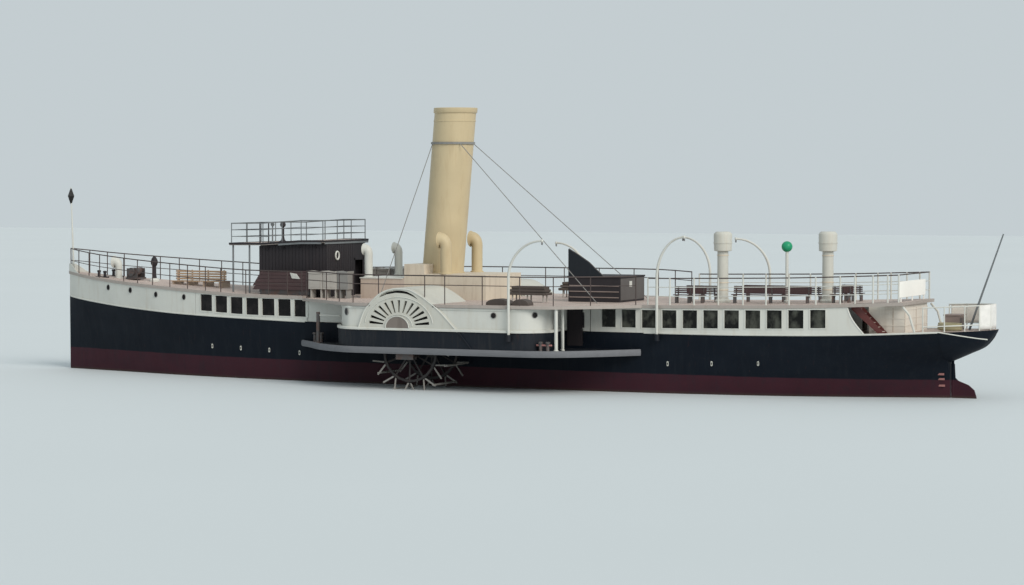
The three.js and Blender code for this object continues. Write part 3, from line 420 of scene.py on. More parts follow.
    def pierced(self, outer: Array, inner: Array, keep: Array, tint: int = 0) -> None:
        """A plate between two grids of points (u, v, 3), with holes where cells (u - 1, v - 1) are left out.

        Both faces have the cells that stay; a rim joins the two grids along each edge between a cell
        that stays and one that doesn't.
        """
        u, v = outer.shape[:2]
        number = np.arange(u * v).reshape(u, v)
        cell = spread(number[:-1, :-1], number[1:, :-1], number[1:, 1:], number[:-1, 1:])[keep]
        padded = np.pad(keep, 1)
        along = padded[1:-1, :-1] != padded[1:-1, 1:]
        across = padded[:-1, 1:-1] != padded[1:, 1:-1]
        one = spread(number[:-1][along], number[1:][along])
        two = spread(number[:, :-1][across], number[:, 1:][across])
        edge = np.concatenate([one, two])
        rim = np.concatenate([edge, edge[:, ::-1] + u * v], 1)
        self._add(np.stack([outer, inner]), np.concatenate([cell, cell[:, ::-1] + u * v, rim]), tint)

    def cowl(self, x: float, y: float, base: float, top: float, stem: float, mouth: float) -> None:
        """A ventilator's round stem that bends over and opens towards the bow.

        The middle line rises straight, then follows a curve with one control point out to the mouth;
        the radius grows with the square of the way along the curve, and the lip turns back inside.
        """
        t = np.linspace(0, 1, 14)[:, None]
        start = np.array([x, y, top - mouth * 2.3])
        bend = np.array([x - mouth * 0.1, y, top - mouth * 0.9])
        end = np.array([x + mouth * 0.9, y, top - mouth])
        curve = (1 - t) ** 2 * start + 2 * t * (1 - t) * bend + t**2 * end
        straight = spread(x, y, np.linspace(base, start[2], 5)[:-1])
        radius = np.concatenate([np.full(len(straight), stem), stem + (mouth - stem) * t[:, 0] ** 2])
        self.tube(np.concatenate([straight, curve]), radius, 24, bore=7)
        self.turned([(stem, 0), (stem + 0.06, 0), (stem + 0.06, 0.05), (stem, 0.08)], (x, y, base))
        lip = end + spread(0.0, *oval((0, 0), (mouth, mouth), 28).T)
        self.tube(lip, 0.022, loop=True)

    def mirror(self) -> "Shape":
        """Adds the same again on the other side of the centreline."""
        self.points += [points * MIRROR for points in self.points]
        self.loops += [loops + self.count for loops in self.loops]
        self.totals *= 2
        self.tints *= 2
        self.count *= 2
        return self

    def beside(self, sign: int) -> "Shape":
        """Keeps it to port for 1, or carries it over to starboard for -1."""
        self.points = [points * [1, sign, 1] for points in self.points]
        return self

    def build(
        self, paints: str, stands_for: str = "", slot: str = "", crease: float = 32.0, bevel: float = 0.0,
        body: str = SHIP,
    ) -> bpy.types.Object:
        """Makes the mesh object and lets it ride on its body.

        Args:
            paints: names of its finishes, in the order of the tints.
            stands_for: the solid of the frame that it is shown instead of.
            slot: not used.
            crease: edges sharper than this angle in degrees stay sharp.
            bevel: width of the rounded edges in ship metres, or 0 for none.
            body: the body of the frame that it moves with.

        Returns:
            The finished object.
        """
        mesh = bpy.data.meshes.new(self.name)
        points = np.concatenate(self.points) * SCALE
        loops = np.concatenate(self.loops).astype(np.int32)
        totals = np.concatenate(self.totals).astype(np.int32)
        mesh.vertices.add(len(points))
        mesh.vertices.foreach_set("co", points.astype(np.float32).ravel())
        mesh.loops.add(len(loops))
        mesh.loops.foreach_set("vertex_index", loops)
        mesh.polygons.add(len(totals))
        mesh.polygons.foreach_set("loop_start", (np.cumsum(totals) - totals).astype(np.int32))
        mesh.polygons.foreach_set("material_index", np.concatenate(self.tints).astype(np.int32))
        mesh.update(calc_edges=True)
        merged = bmesh.new()
        merged.from_mesh(mesh)
        bmesh.ops.remove_doubles(merged, verts=merged.verts, dist=2e-5)
        bmesh.ops.dissolve_degenerate(merged, edges=merged.edges, dist=1e-6)
        bmesh.ops.recalc_face_normals(merged, faces=merged.faces)
        merged.to_mesh(mesh)
        merged.free()
        mesh.polygons.foreach_set("use_smooth", np.ones(len(mesh.polygons), bool))
        mesh.set_sharp_from_angle(angle=math.radians(crease))
        for name in paints.split():
            mesh.materials.append(finish(name))
        thing = bpy.data.objects.new(self.name, mesh)
        bpy.context.scene.collection.objects.link(thing)
        if bevel:
            rounding = thing.modifiers.new("edges", "BEVEL")
            rounding.width = bevel * SCALE
            rounding.segments = 1
            rounding.limit_method = "ANGLE"
            rounding.angle_limit = math.radians(40)
            rounding.harden_normals = True
        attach(thing, body)
        if stands_for:
            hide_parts(stands_for)
        log.info("%s: %d faces", self.name, len(mesh.polygons))
        return thing


def summed(operation: str, turned: bool = False) -> Callable[["Wire", object], "Wire"]:
    """A method of Wire that puts itself and another value through one Math node.

    Args:
        operation: Blender's name of the sum.
        turned: takes the other value first, as a reflected operator does.

    Returns:
        The method.
    """

    def method(self: "Wire", other: object) -> "Wire":
        """The result of the sum."""
        inputs = {0: other, 1: self} if turned else {0: self, 1: other}
        return self.graph.node("ShaderNodeMath", {"operation": operation}, inputs)

    return method


class Wire:
    """A number that comes out of a shader node, ready for sums."""

    def __init__(self, graph: "Graph", socket: bpy.types.NodeSocket) -> None:
        """Wraps one output socket."""
        self.graph = graph
        self.socket = socket

    __add__, __radd__ = summed("ADD"), summed("ADD", turned=True)
    __sub__, __rsub__ = summed("SUBTRACT"), summed("SUBTRACT", turned=True)
    __mul__, __rmul__ = summed("MULTIPLY"), summed("MULTIPLY", turned=True)
    __gt__, __lt__ = summed("GREATER_THAN"), summed("LESS_THAN")

    def fraction(self) -> "Wire":
        """What is left of it above the whole number below."""
        return summed("FRACT")(self, 0.0)

    def ramp(self, low: float, high: float) -> "Wire":
        """Rises from 0 at low to 1 at high, and stays there."""
        return self.graph.node("ShaderNodeMapRange", {"clamp": True}, {0: self, 1: low, 2: high})


class Graph:
    """The node tree of one material, which ends in a Principled shader."""

    def __init__(self, name: str) -> None:
        """Starts a material that holds only its shader and output."""
        self.material = bpy.data.materials.new(name)
        self.material.use_nodes = True
        self.tree = self.material.node_tree
        self.tree.nodes.clear()
        self.shader = self.tree.nodes.new("ShaderNodeBsdfPrincipled")
        output = self.tree.nodes.new("ShaderNodeOutputMaterial")
        self.tree.links.new(self.shader.outputs["BSDF"], output.inputs["Surface"])

    def _feed(self, socket: bpy.types.NodeSocket, value: object) -> None:
        """Links a wire, or sets a plain value."""
        if isinstance(value, Wire):
            self.tree.links.new(value.socket, socket)
        elif isinstance(value, tuple):
            socket.default_value = value[:len(socket.default_value)]
        else:
            socket.default_value = value

    def node(self, kind: str, settings: dict, inputs: dict, output: int | str = 0) -> Wire:
        """Adds a node.

        Args:
            kind: Blender's name of the node type.
            settings: set first, such as an operation.
            inputs: values or links by socket name or number.
            output: which output comes back.

        Returns:
            That output as a wire.
        """
        made = self.tree.nodes.new(kind)
        for key, value in settings.items():
            setattr(made, key, value)
        for key, value in inputs.items():
            self._feed(made.inputs[key], value)
        return Wire(self, made.outputs[output])

    def place(self) -> Wire:
        """Object coordinates, which are the model's own metres."""
        return self.node("ShaderNodeTexCoord", {}, {}, "Object")

    def split(self, vector: Wire) -> tuple[Wire, Wire, Wire]:
        """The three parts of a vector as numbers."""
        made = self.node("ShaderNodeSeparateXYZ", {}, {0: vector}).socket.node
        return tuple(Wire(self, made.outputs[k]) for k in range(3))

    def axes(self) -> tuple[Wire, Wire, Wire]:
        """The three Object coordinates."""
        return self.split(self.place())

    def facing(self) -> tuple[Wire, Wire, Wire]:
        """The three parts of the surface's own direction."""
        return self.split(self.node("ShaderNodeNewGeometry", {}, {}, "Normal"))

    def noise(self, factors: Sequence[float] | float, detail: float = 3.0, rough: float = 0.55) -> Wire:
        """Cloudy noise about 0.5 whose lumps are one over the factors in size, axis by axis or all alike."""
        sizes = tuple(np.broadcast_to(factors, 3).tolist())
        place = self.node("ShaderNodeVectorMath", {"operation": "MULTIPLY"}, {0: self.place(), 1: sizes})
        inputs = {"Vector": place, "Scale": 1.0, "Detail": detail, "Roughness": rough}
        return self.node("ShaderNodeTexNoise", {}, inputs)

    def blend(self, first: object, second: object, factor: object) -> Wire:
        """A colour between two, by a factor from 0 to 1."""
        inputs = {0: factor, 6: first, 7: second}
        return self.node("ShaderNodeMix", {"data_type": "RGBA", "clamp_factor": True}, inputs, 2)

    def shade(self, colour: object, factor: object) -> Wire:
        """A colour made darker or lighter by a number."""
        inputs = {0: colour, "Scale": factor}
        return self.node("ShaderNodeVectorMath", {"operation": "SCALE"}, inputs)

    def bump(self, height: Wire, strength: float, distance: float) -> None:
        """Feeds the shader's normal from a height in metres times distance."""
        inputs = {"Strength": strength, "Distance": distance, "Height": height}
        self.set({"Normal": self.node("ShaderNodeBump", {}, inputs)})

    def set(self, values: dict) -> None:
        """Sets or links the shader's own sockets."""
        for key, value in values.items():
            self._feed(self.shader.inputs[key], value)


class Weather(Enum):
    """How long a surface has been out in the salt air."""

    FRESH = 0.35
    USED = 0.7
    WORN = 1.0


@dataclass(frozen=True)
class Finish:
    """A surface of one main colour; each kind of finish has its own look."""

    colour: Colour

    def look(self, graph: Graph) -> None:
        """Adds the nodes that feed the shader."""
        raise NotImplementedError

    def make(self, name: str) -> bpy.types.Material:
        """The finish as a material."""
        graph = Graph(f"{name} finish")
        self.look(graph)
        return graph.material


@dataclass(frozen=True)
class Paint(Finish):
    """Ship's paint with cloudy wear, streaks that run down and spots of rust."""

    roughness: float = 0.45
    weather: Weather = Weather.USED
    rust: float = 0.0
    grime: Colour = srgb(0x605446)
    rust_colour: Colour = srgb(0x784228)

    def colours(self, graph: Graph, base: object) -> Wire:
        """Puts clouding, streaks and rust over a base colour."""
        wear = self.weather.value
        cloud = graph.noise(1.3, 4.0)
        tinted = graph.shade(base, 1.0 - 0.16 * wear + cloud * (0.32 * wear))
        streak = graph.noise((7.0, 7.0, 0.9), 5.0, 0.65).ramp(0.52, 0.78)
        dirty = graph.blend(tinted, self.grime, streak * (0.42 * wear))
        spots = graph.noise((16.0, 16.0, 9.0), 6.0, 0.7).ramp(0.64, 0.7)
        run = graph.noise((22.0, 22.0, 1.6), 4.0, 0.6).ramp(0.62, 0.74)
        return graph.blend(dirty, self.rust_colour, (spots + run * 0.6) * self.rust)

    def look(self, graph: Graph) -> None:
        """The worn colour with a fine grain."""
        rough = graph.noise((5.0, 5.0, 2.0), 3.0)
        graph.set({
            "Base Color": self.colours(graph, self.colour),
            "Roughness": rough * 0.25 + (self.roughness - 0.1),
            "Specular IOR Level": 0.3,
        })
        graph.bump(graph.noise(26.0, 4.0), 0.25, 0.004)


@dataclass(frozen=True)
class HullPaint(Paint):
    """Topside paint over boot topping, divided by a line that rises to the bow."""

    boot: Colour = srgb(0x3C1E27)
    line_aft: float = 0.9
    line_fore: float = 1.24
    plate_long: float = 5.2
    plate_high: float = 1.05

    def look(self, graph: Graph) -> None:
        """The hull's two colours with faint plate seams and scum at the water."""
        x, _, z = graph.axes()
        rise = (self.line_fore - self.line_aft) / (HULL[-1, 0] - HULL[0, 0])
        line = x * rise + (self.line_aft - HULL[0, 0] * rise) * SCALE
        wander = graph.noise(3.0, 3.0) * 0.03 - 0.015
        upper = (z - line + wander).ramp(-0.012, 0.012)
        base = graph.blend(self.boot, self.colour, upper)
        scum = z.ramp(0.0, 0.16 * SCALE)
        base = graph.blend(srgb(0x463E36), base, scum * 0.75 + 0.25)
        patch = graph.noise((0.9, 0.9, 2.4), 5.0, 0.6).ramp(0.42, 0.7)
        base = graph.blend(base, srgb(0x1A2129), patch * 0.2)
        level = (z * (1 / (self.plate_high * SCALE))).fraction()
        upright = (x * (1 / (self.plate_long * SCALE))).fraction()
        seam = (level < 0.014) + (upright < 0.004)
        graph.set({
            "Base Color": self.colours(graph, base),
            "Roughness": graph.noise((4.0, 4.0, 1.6), 3.0) * 0.3 + (self.roughness - 0.12),
            "Specular IOR Level": 0.14,
        })
        ripple = graph.noise(1.4, 2.0)
        graph.bump(seam * -0.6 + ripple * 1.6 + graph.noise(20.0, 3.0) * 0.3, 0.35, 0.006)


@dataclass(frozen=True)
class Planks(Finish):
    """Deck planking that runs fore and aft, with caulked seams and scattered butts."""

    edge: Colour
    width: float = 0.16
    length: float = 5.0
    seam: Colour = srgb(0x463E3A)

    def look(self, graph: Graph) -> None:
        """Planks on the faces that look up, and a darker colour on all faces that do not, the deck's edge
        among them.
        """
        x, y, _ = graph.axes()
        row = y * (1 / (self.width * SCALE))
        number = row - row.fraction()
        shift = graph.node("ShaderNodeTexWhiteNoise", {"noise_dimensions": "1D"}, {"W": number})
        along = x * (1 / (self.length * SCALE)) + shift * 0.9
        plank = graph.node("ShaderNodeCombineXYZ", {}, {0: number, 1: along - along.fraction()})
        tone = graph.node("ShaderNodeTexWhiteNoise", {"noise_dimensions": "2D"}, {"Vector": plank})
        seam = (row.fraction() < 0.07) + (along.fraction() < 0.004)
        grain = graph.noise((3.0, 60.0, 3.0), 5.0, 0.6)
        stain = graph.noise((0.8, 1.1, 1.0), 4.0, 0.6).ramp(0.4, 0.75)
        wood = graph.shade(self.colour, tone * 0.12 + grain * 0.22 + 0.83)
        wood = graph.blend(wood, srgb(0x807068), stain * 0.45)
        wood = graph.blend(wood, self.seam, seam * 0.75)
        upward = graph.facing()[2].ramp(0.5, 0.8)
        streak = graph.noise((9.0, 9.0, 1.2), 4.0, 0.6).ramp(0.5, 0.8)
        rim = graph.blend(self.edge, srgb(0x827462), streak * 0.35)
        graph.set({"Base Color": graph.blend(rim, wood, upward), "Roughness": stain * -0.15 + 0.75})
        graph.bump(seam * -0.7 + grain * 0.3, 0.4, 0.003)


@dataclass(frozen=True)
class Glass(Finish):
    """Dark window glass with a painted reflection of the sky and painted light from what shows through it."""

    light: Colour

    def look(self, graph: Graph) -> None:
        """Glossy dark glass with uneven pale patches of painted light and reflection."""
        patch = graph.noise((4.5, 4.5, 3.2), 3.0, 0.5).ramp(0.46, 0.66)
        graph.set({
            "Base Color": graph.blend(self.colour, self.light, patch),
            "Roughness": graph.noise(8.0, 2.0) * 0.2 + 0.15,
            "Specular IOR Level": 0.2,
        })


@dataclass(frozen=True)
class Timber(Finish):
    """Varnished or painted wood with grain along X."""

    roughness: float = 0.5

    def look(self, graph: Graph) -> None:
        """Wood whose grain darkens it in long fine bands."""
        grain = graph.noise((2.5, 45.0, 45.0), 6.0, 0.6)
        board = graph.noise((0.9, 6.0, 6.0), 2.0)
        graph.set({
            "Base Color": graph.shade(self.colour, grain * 0.6 + board * 0.35 + 0.5),
            "Roughness": grain * 0.25 + (self.roughness - 0.1),
        })
        graph.bump(grain, 0.35, 0.003)


@dataclass(frozen=True)
class Canvas(Finish):
    """Woven cloth with soft creases."""

    def look(self, graph: Graph) -> None:
        """Canvas with a fine weave and creases, darker in the folds as painted shade."""
        settings = {"wave_type": "BANDS", "bands_direction": "DIAGONAL"}
        inputs = {"Vector": graph.place(), "Scale": 90.0, "Distortion": 1.5}
        weave = graph.node("ShaderNodeTexWave", settings, inputs, 1)
        crease = graph.noise((4.0, 4.0, 5.0), 5.0, 0.62)
        graph.set({
            # Darker where the creases sink: painted shade in the folds.
            "Base Color": graph.shade(self.colour, crease * 0.5 + weave * 0.06 + 0.7),
            "Roughness": crease * 0.1 + 0.82,
            "Sheen Weight": 0.15,
        })
        graph.bump(crease * 2.0 + weave * 0.1, 0.5, 0.006)


@dataclass(frozen=True)
class Iron(Finish):
    """Bare or galvanised iron with rust and pitting."""

    metallic: float = 0.4
    rust: float = 0.5

    def look(self, graph: Graph) -> None:
        """Metal whose rust spreads in patches and takes its shine away."""
        patch = graph.noise(6.0, 6.0, 0.65).ramp(0.45, 0.68)
        base = graph.shade(self.colour, graph.noise(14.0, 3.0) * 0.5 + 0.75)
        graph.set({
            "Base Color": graph.blend(base, srgb(0x70422C), patch * self.rust),
            "Roughness": patch * 0.35 + 0.4,
            "Metallic": patch * -self.metallic + self.metallic,
        })
        graph.bump(patch + graph.noise(60.0, 3.0) * 0.4, 0.3, 0.003)


@dataclass(frozen=True)
class WheelPaint(Paint):
    """Near-black arms and rings, painted shade inside the paddle box, with pale brackets beyond a certain
    reach from the shaft.
    """

    pale: Colour = srgb(0x8E8B86)
    shaft: Pair = (-0.5, 1.95)
    reach: float = 1.62

    def look(self, graph: Graph) -> None:
        """The painted shade and the pale colour, divided where the brackets leave the ring, with rust over
        both.
        """
        x, _, z = graph.axes()
        along, up = x - self.shaft[0] * SCALE, z - self.shaft[1] * SCALE
        limit = (self.reach * SCALE) ** 2
        beyond = (along * along + up * up).ramp(limit * 0.96, limit)
        base = graph.blend(self.colour, self.pale, beyond)
        rough = graph.noise(9.0) * 0.3 + 0.45
        graph.set({"Base Color": self.colours(graph, base), "Roughness": rough})
        graph.bump(graph.noise(40.0, 4.0), 0.3, 0.003)


NAVY = srgb(0x0A121C)
WORN, USED, FRESH = Weather.WORN, Weather.USED, Weather.FRESH
RECIPES = {
    "hull": HullPaint(NAVY, 0.55, WORN, 0.1, grime=srgb(0x21262B)),
    "navy": Paint(NAVY, 0.55, WORN, 0.2, grime=srgb(0x3C3836)),
    "white": Paint(srgb(0xC9C9C2), 0.42, USED, 0.05, srgb(0xA8967C)),
    "house": Paint(srgb(0xC0B0A2), 0.5, WORN, 0.08, srgb(0x96806E)),
    "cream": Paint(srgb(0xC1C0B7), 0.45, USED, 0.1, srgb(0xAA9678)),
    "buff": Paint(srgb(0xC2B18F), 0.45, USED, 0.08, srgb(0x9E8260)),
    "black": Paint(srgb(0x1E1C1C), 0.6, USED, 0.1, srgb(0x3C3834)),
    "dark": Paint(srgb(0x2D292C), 0.65, USED, 0.0, srgb(0x403432)),
    "brown_rail": Paint(srgb(0x4A403E), 0.55, WORN, 0.4, srgb(0x3C2E28)),
    # The deck's second colour is darker and goes on every face that does not look up.
    "planks": Planks(srgb(0xC4B2A8), srgb(0xA29992)),
    # Glass colours: dark, with pale patches of painted light and reflection.
    "window": Glass(srgb(0x0A0809), srgb(0x221E1E)),
    "aft_window": Glass(srgb(0x121210), srgb(0x484942)),
    "frame": Paint(srgb(0xB09E8C), 0.45, USED, 0.1, srgb(0x6E5A46)),
    "wood": Timber(srgb(0x4A3434)),
    "red_wood": Timber(srgb(0x602E2A)),
    "slats": Timber(srgb(0x8A7B75)),
    "grey": Paint(srgb(0x848380), 0.55, WORN, 0.2, srgb(0x645C54)),
    "boss": Paint(srgb(0x7C736C), 0.6, WORN, 0.2, srgb(0x463E38)),
    # Grey that also stands for the flying bridge's white rail seen in shade: painted shade.
    "rail_grey": Paint(srgb(0x707476), 0.5, WORN, 0.2, srgb(0x54504C)),
    "locker": Paint(srgb(0xACA7A0), 0.55, WORN, 0.1, srgb(0x867A6C)),
    "cover_paint": Paint(srgb(0x544C48), 0.7, WORN, 0.1, srgb(0x3C3632)),
    "hood_grey": Paint(srgb(0x5A5654), 0.6, WORN, 0.05, srgb(0x46403C)),
    "blue_black": Paint(srgb(0x1B2026), 0.6, USED, 0.0, srgb(0x34363A)),
    "tan_wood": Timber(srgb(0xB2967A)),
    "board": Paint(srgb(0xF0EDE6), 0.5, FRESH, 0.0, srgb(0xBEB8AC)),
    "tan": Paint(srgb(0xCEC2B0), 0.5, WORN, 0.1, srgb(0x8E745C)),
    "stern_house": Paint(srgb(0xD8D0C4), 0.5, WORN, 0.08, srgb(0x968670)),
    "guard": Timber(srgb(0x6C6D71), 0.75),
    "iron": Iron(srgb(0x545252)),
    # Near-black is painted shade on the wheel inside the box; the brackets beyond it are pale.
    "wheel": WheelPaint(srgb(0x221E1E), 0.55, WORN, 0.35, srgb(0x5A463A)),
    # Canvas made lighter than it is, as painted light over the shade the side dodger stands in.
    "shade_lifted_canvas": Canvas(srgb(0xF8F1E7)),
    "white_cloth": Canvas(srgb(0xDEDBD6)),
    "rope": Canvas(srgb(0x968E70)),
    "green": Paint(srgb(0x249268), 0.35, FRESH, 0.02, srgb(0x3C5A46)),
    "pink": Paint(srgb(0x9E6E6A), 0.6, WORN, 0.4, srgb(0x785042)),
}


@cache
def finish(name: str) -> bpy.types.Material:
    """The material of that recipe, made when it is first asked for and then shared."""
    return RECIPES[name].make(name)


@dataclass
class Hull:
    """The plated hull with its counter, seen down to the floor at the water."""

    stations: int = 140
    girth: int = 37
    counter_stations: int = 24
    counter_girth: int = 16
    waterway: float = 0.4
    discharges: Plan = (
        (13.69, 1.72), (11.71, 1.67), (9.82, 1.62), (7.86, 1.53), (-13.58, 1.53), (-15.92, 1.59),
        (-18.34, 1.66),
    )
    bracket_x: Pair = (-27.15, -26.85)
    bracket_heights: tuple[float, ...] = (0.62, 0.95, 1.2)
    # Each length of main deck: after end, fore end, and whether it is a well
    lengths: tuple[tuple[float, float, bool], ...] = (
        (-27.35, -22.3, False), (-22.3, -9.3, True), (-9.3, -9.1, False), (-9.1, DOOR_AFT, True),
        (DOOR_FORE, 7.3, True), (7.3, 7.5, False), (7.5, 14.7, True), (14.7, 25.05, False),
    )

    def build(self) -> None:
        """Builds the skin and the small things fixed on it."""
        self.skin().build("hull planks white", "hull", "hull_paint", 40)
        self.fittings()
        self.mouldings()

    def half_ring(self, x: Array) -> Array:
        """Port half of each section, from the keel up to the edge, as a smooth curve through seven points."""
        keel, *halves, top = through(HULL[:, 0], HULL[:, 1:], x).T
        heights = spread(keel, keel + 0.05, keel + 0.62, 0.0, top * 0.5, top * 0.78, top)
        return sections(x, spread(0.0, *halves), heights, self.girth)

    def skin(self) -> Shape:
        """Both sides with their doorways, the main deck with its wells, and the counter."""
        shape = Shape("hull_skin")
        x = np.union1d(np.linspace(HULL[0, 0], HULL[-1, 0], self.stations), [DOOR_AFT, DOOR_FORE])
        port = self.half_ring(x)
        sill = 5 * (self.girth - 1) // 6
        keep = np.ones((len(x) - 1, self.girth - 1), bool)
        middle = (x[1:] + x[:-1]) / 2
        keep[(middle > DOOR_AFT) & (middle < DOOR_FORE), sill:] = False
        shape.grid(port, keep=keep)
        shape.grid(port * MIRROR, keep=keep)
        shape.cap(whole(port[0]))
        shape.cap(whole(port[-1]))
        self.decking(shape)
        self.counter(shape)
        return shape

    def decking(self, shape: Shape) -> None:
        """The main deck beside and between the wells, and the wells' walls and floors."""
        for start, stop, sunk in self.lengths:
            x = np.linspace(start, stop, max(2, int((stop - start) * 2)))
            half, top = hull_edge(x).T
            inner = np.maximum(half - self.waterway, half * 0.5)
            outside, inside, floor = spread(x, half, top), spread(x, inner, top), spread(x, inner, FLOOR_Z)
            for way in (1, MIRROR):
                shape.grid(np.stack([outside, inside], 1) * way, tint=1)
                if sunk:
                    shape.grid(np.stack([inside, floor], 1) * way, tint=2)
            level = floor if sunk else inside
            shape.grid(np.stack([level, level * MIRROR], 1), tint=1)
            if sunk and stop - start > 1:
                for end in (0, -1):
                    wall = np.stack([inside[end], floor[end]])
                    shape.cap(np.concatenate([wall, (wall * MIRROR)[::-1]]), 2)
        shape.blocks((DOOR_AFT, DOOR_FORE), (BOTH * 2.9, BOTH * 3.63), (2.2, 2.32), tint=1)

    def counter(self, shape: Shape) -> None:
        """The overhang abaft the sternpost: a loft through its stations."""
        x = np.linspace(COUNTER[0, 0], COUNTER[-1, 0], self.counter_stations)
        low, low_half, side, side_half, edge_half, edge = through(COUNTER[:, 0], COUNTER[:, 1:], x).T
        halves = spread(0.0, low_half, side_half, edge_half)
        port = sections(x, halves, spread(low, low + 0.02, side, edge), self.counter_girth)
        starboard = port * MIRROR
        shape.grid(np.concatenate([starboard[:, ::-1], port[:, 1:]], 1))
        shape.grid(np.stack([port[:, -1], starboard[:, -1]], 1), tint=1)
        shape.cap(whole(port[0]))
        shape.cap(whole(port[-1]))

    def side_at(self, x: float, z: float) -> float:
        """Half width of the hull at one place on its side."""
        ring = self.half_ring(np.array([x]))[0]
        return float(np.interp(z, ring[:, 2], ring[:, 1]))

    def fittings(self) -> None:
        """Pale discharge slots over the boot topping, each with a black centre that is painted shade in its
        opening, and the small brackets by the rudder.
        """
        shape = Shape("hull_discharges")
        slot = [(0, -0.13), (0.05, -0.09), (0.05, 0.09), (0, 0.13), (-0.05, 0.09), (-0.05, -0.09), (0, -0.13)]
        lip = smooth_outline(slot, 19)[:-1]
        for x, z in self.discharges:
            y = self.side_at(x, z)
            shape.prism(lip + [x, z], y - 0.03, y + 0.02, axis=1)
            # Black centre: painted shade in the slot's opening.
            shape.prism(lip * 0.5 + [x, z], y + 0.01, y + 0.025, axis=1, tint=1)
        for z in self.bracket_heights:
            y = self.side_at(sum(self.bracket_x) / 2, z)
            shape.blocks(self.bracket_x, (y - 0.02, y + 0.06), (z - 0.05, z + 0.05), tint=2)
        shape.mirror().build("cream black pink", slot="grey_metal")

    def mouldings(self) -> None:
        """A half-round white line along the hull's edge, and one that falls over the counter."""
        shape = Shape("hull_mouldings")
        half_round = [(-0.02, -0.045), (0.025, -0.04), (0.04, 0), (0.025, 0.04), (-0.02, 0.045)]
        for start, stop in ((7.5, 24.97), (-27.3, -12.3)):
            x = np.linspace(start, stop, 70)
            shape.strip(spread(x, *hull_edge(x).T), half_round)
        aft, fore = -29.4, -27.3
        x = np.linspace(aft, fore, 20)
        _, _, side, side_half, edge_half, edge = through(COUNTER[:, 0], COUNTER[:, 1:], x).T
        z = np.interp(x, [aft, fore], [2.99, 3.38])
        up = np.clip((z - side) / (edge - side), 0, 1)
        shape.tube(spread(x, side_half + (edge_half - side_half) * up + 0.015, z), 0.03)
        shape.mirror().build("white", slot="white_paint")


@dataclass(frozen=True)
class WindowRow:
    """A saloon's side: where the wall runs, and its row of like windows."""

    name: str
    glass: str
    ends: Pair
    first: float
    pitch: float
    count: int
    half: float
    drop: float
    high: float
    swept: bool = False


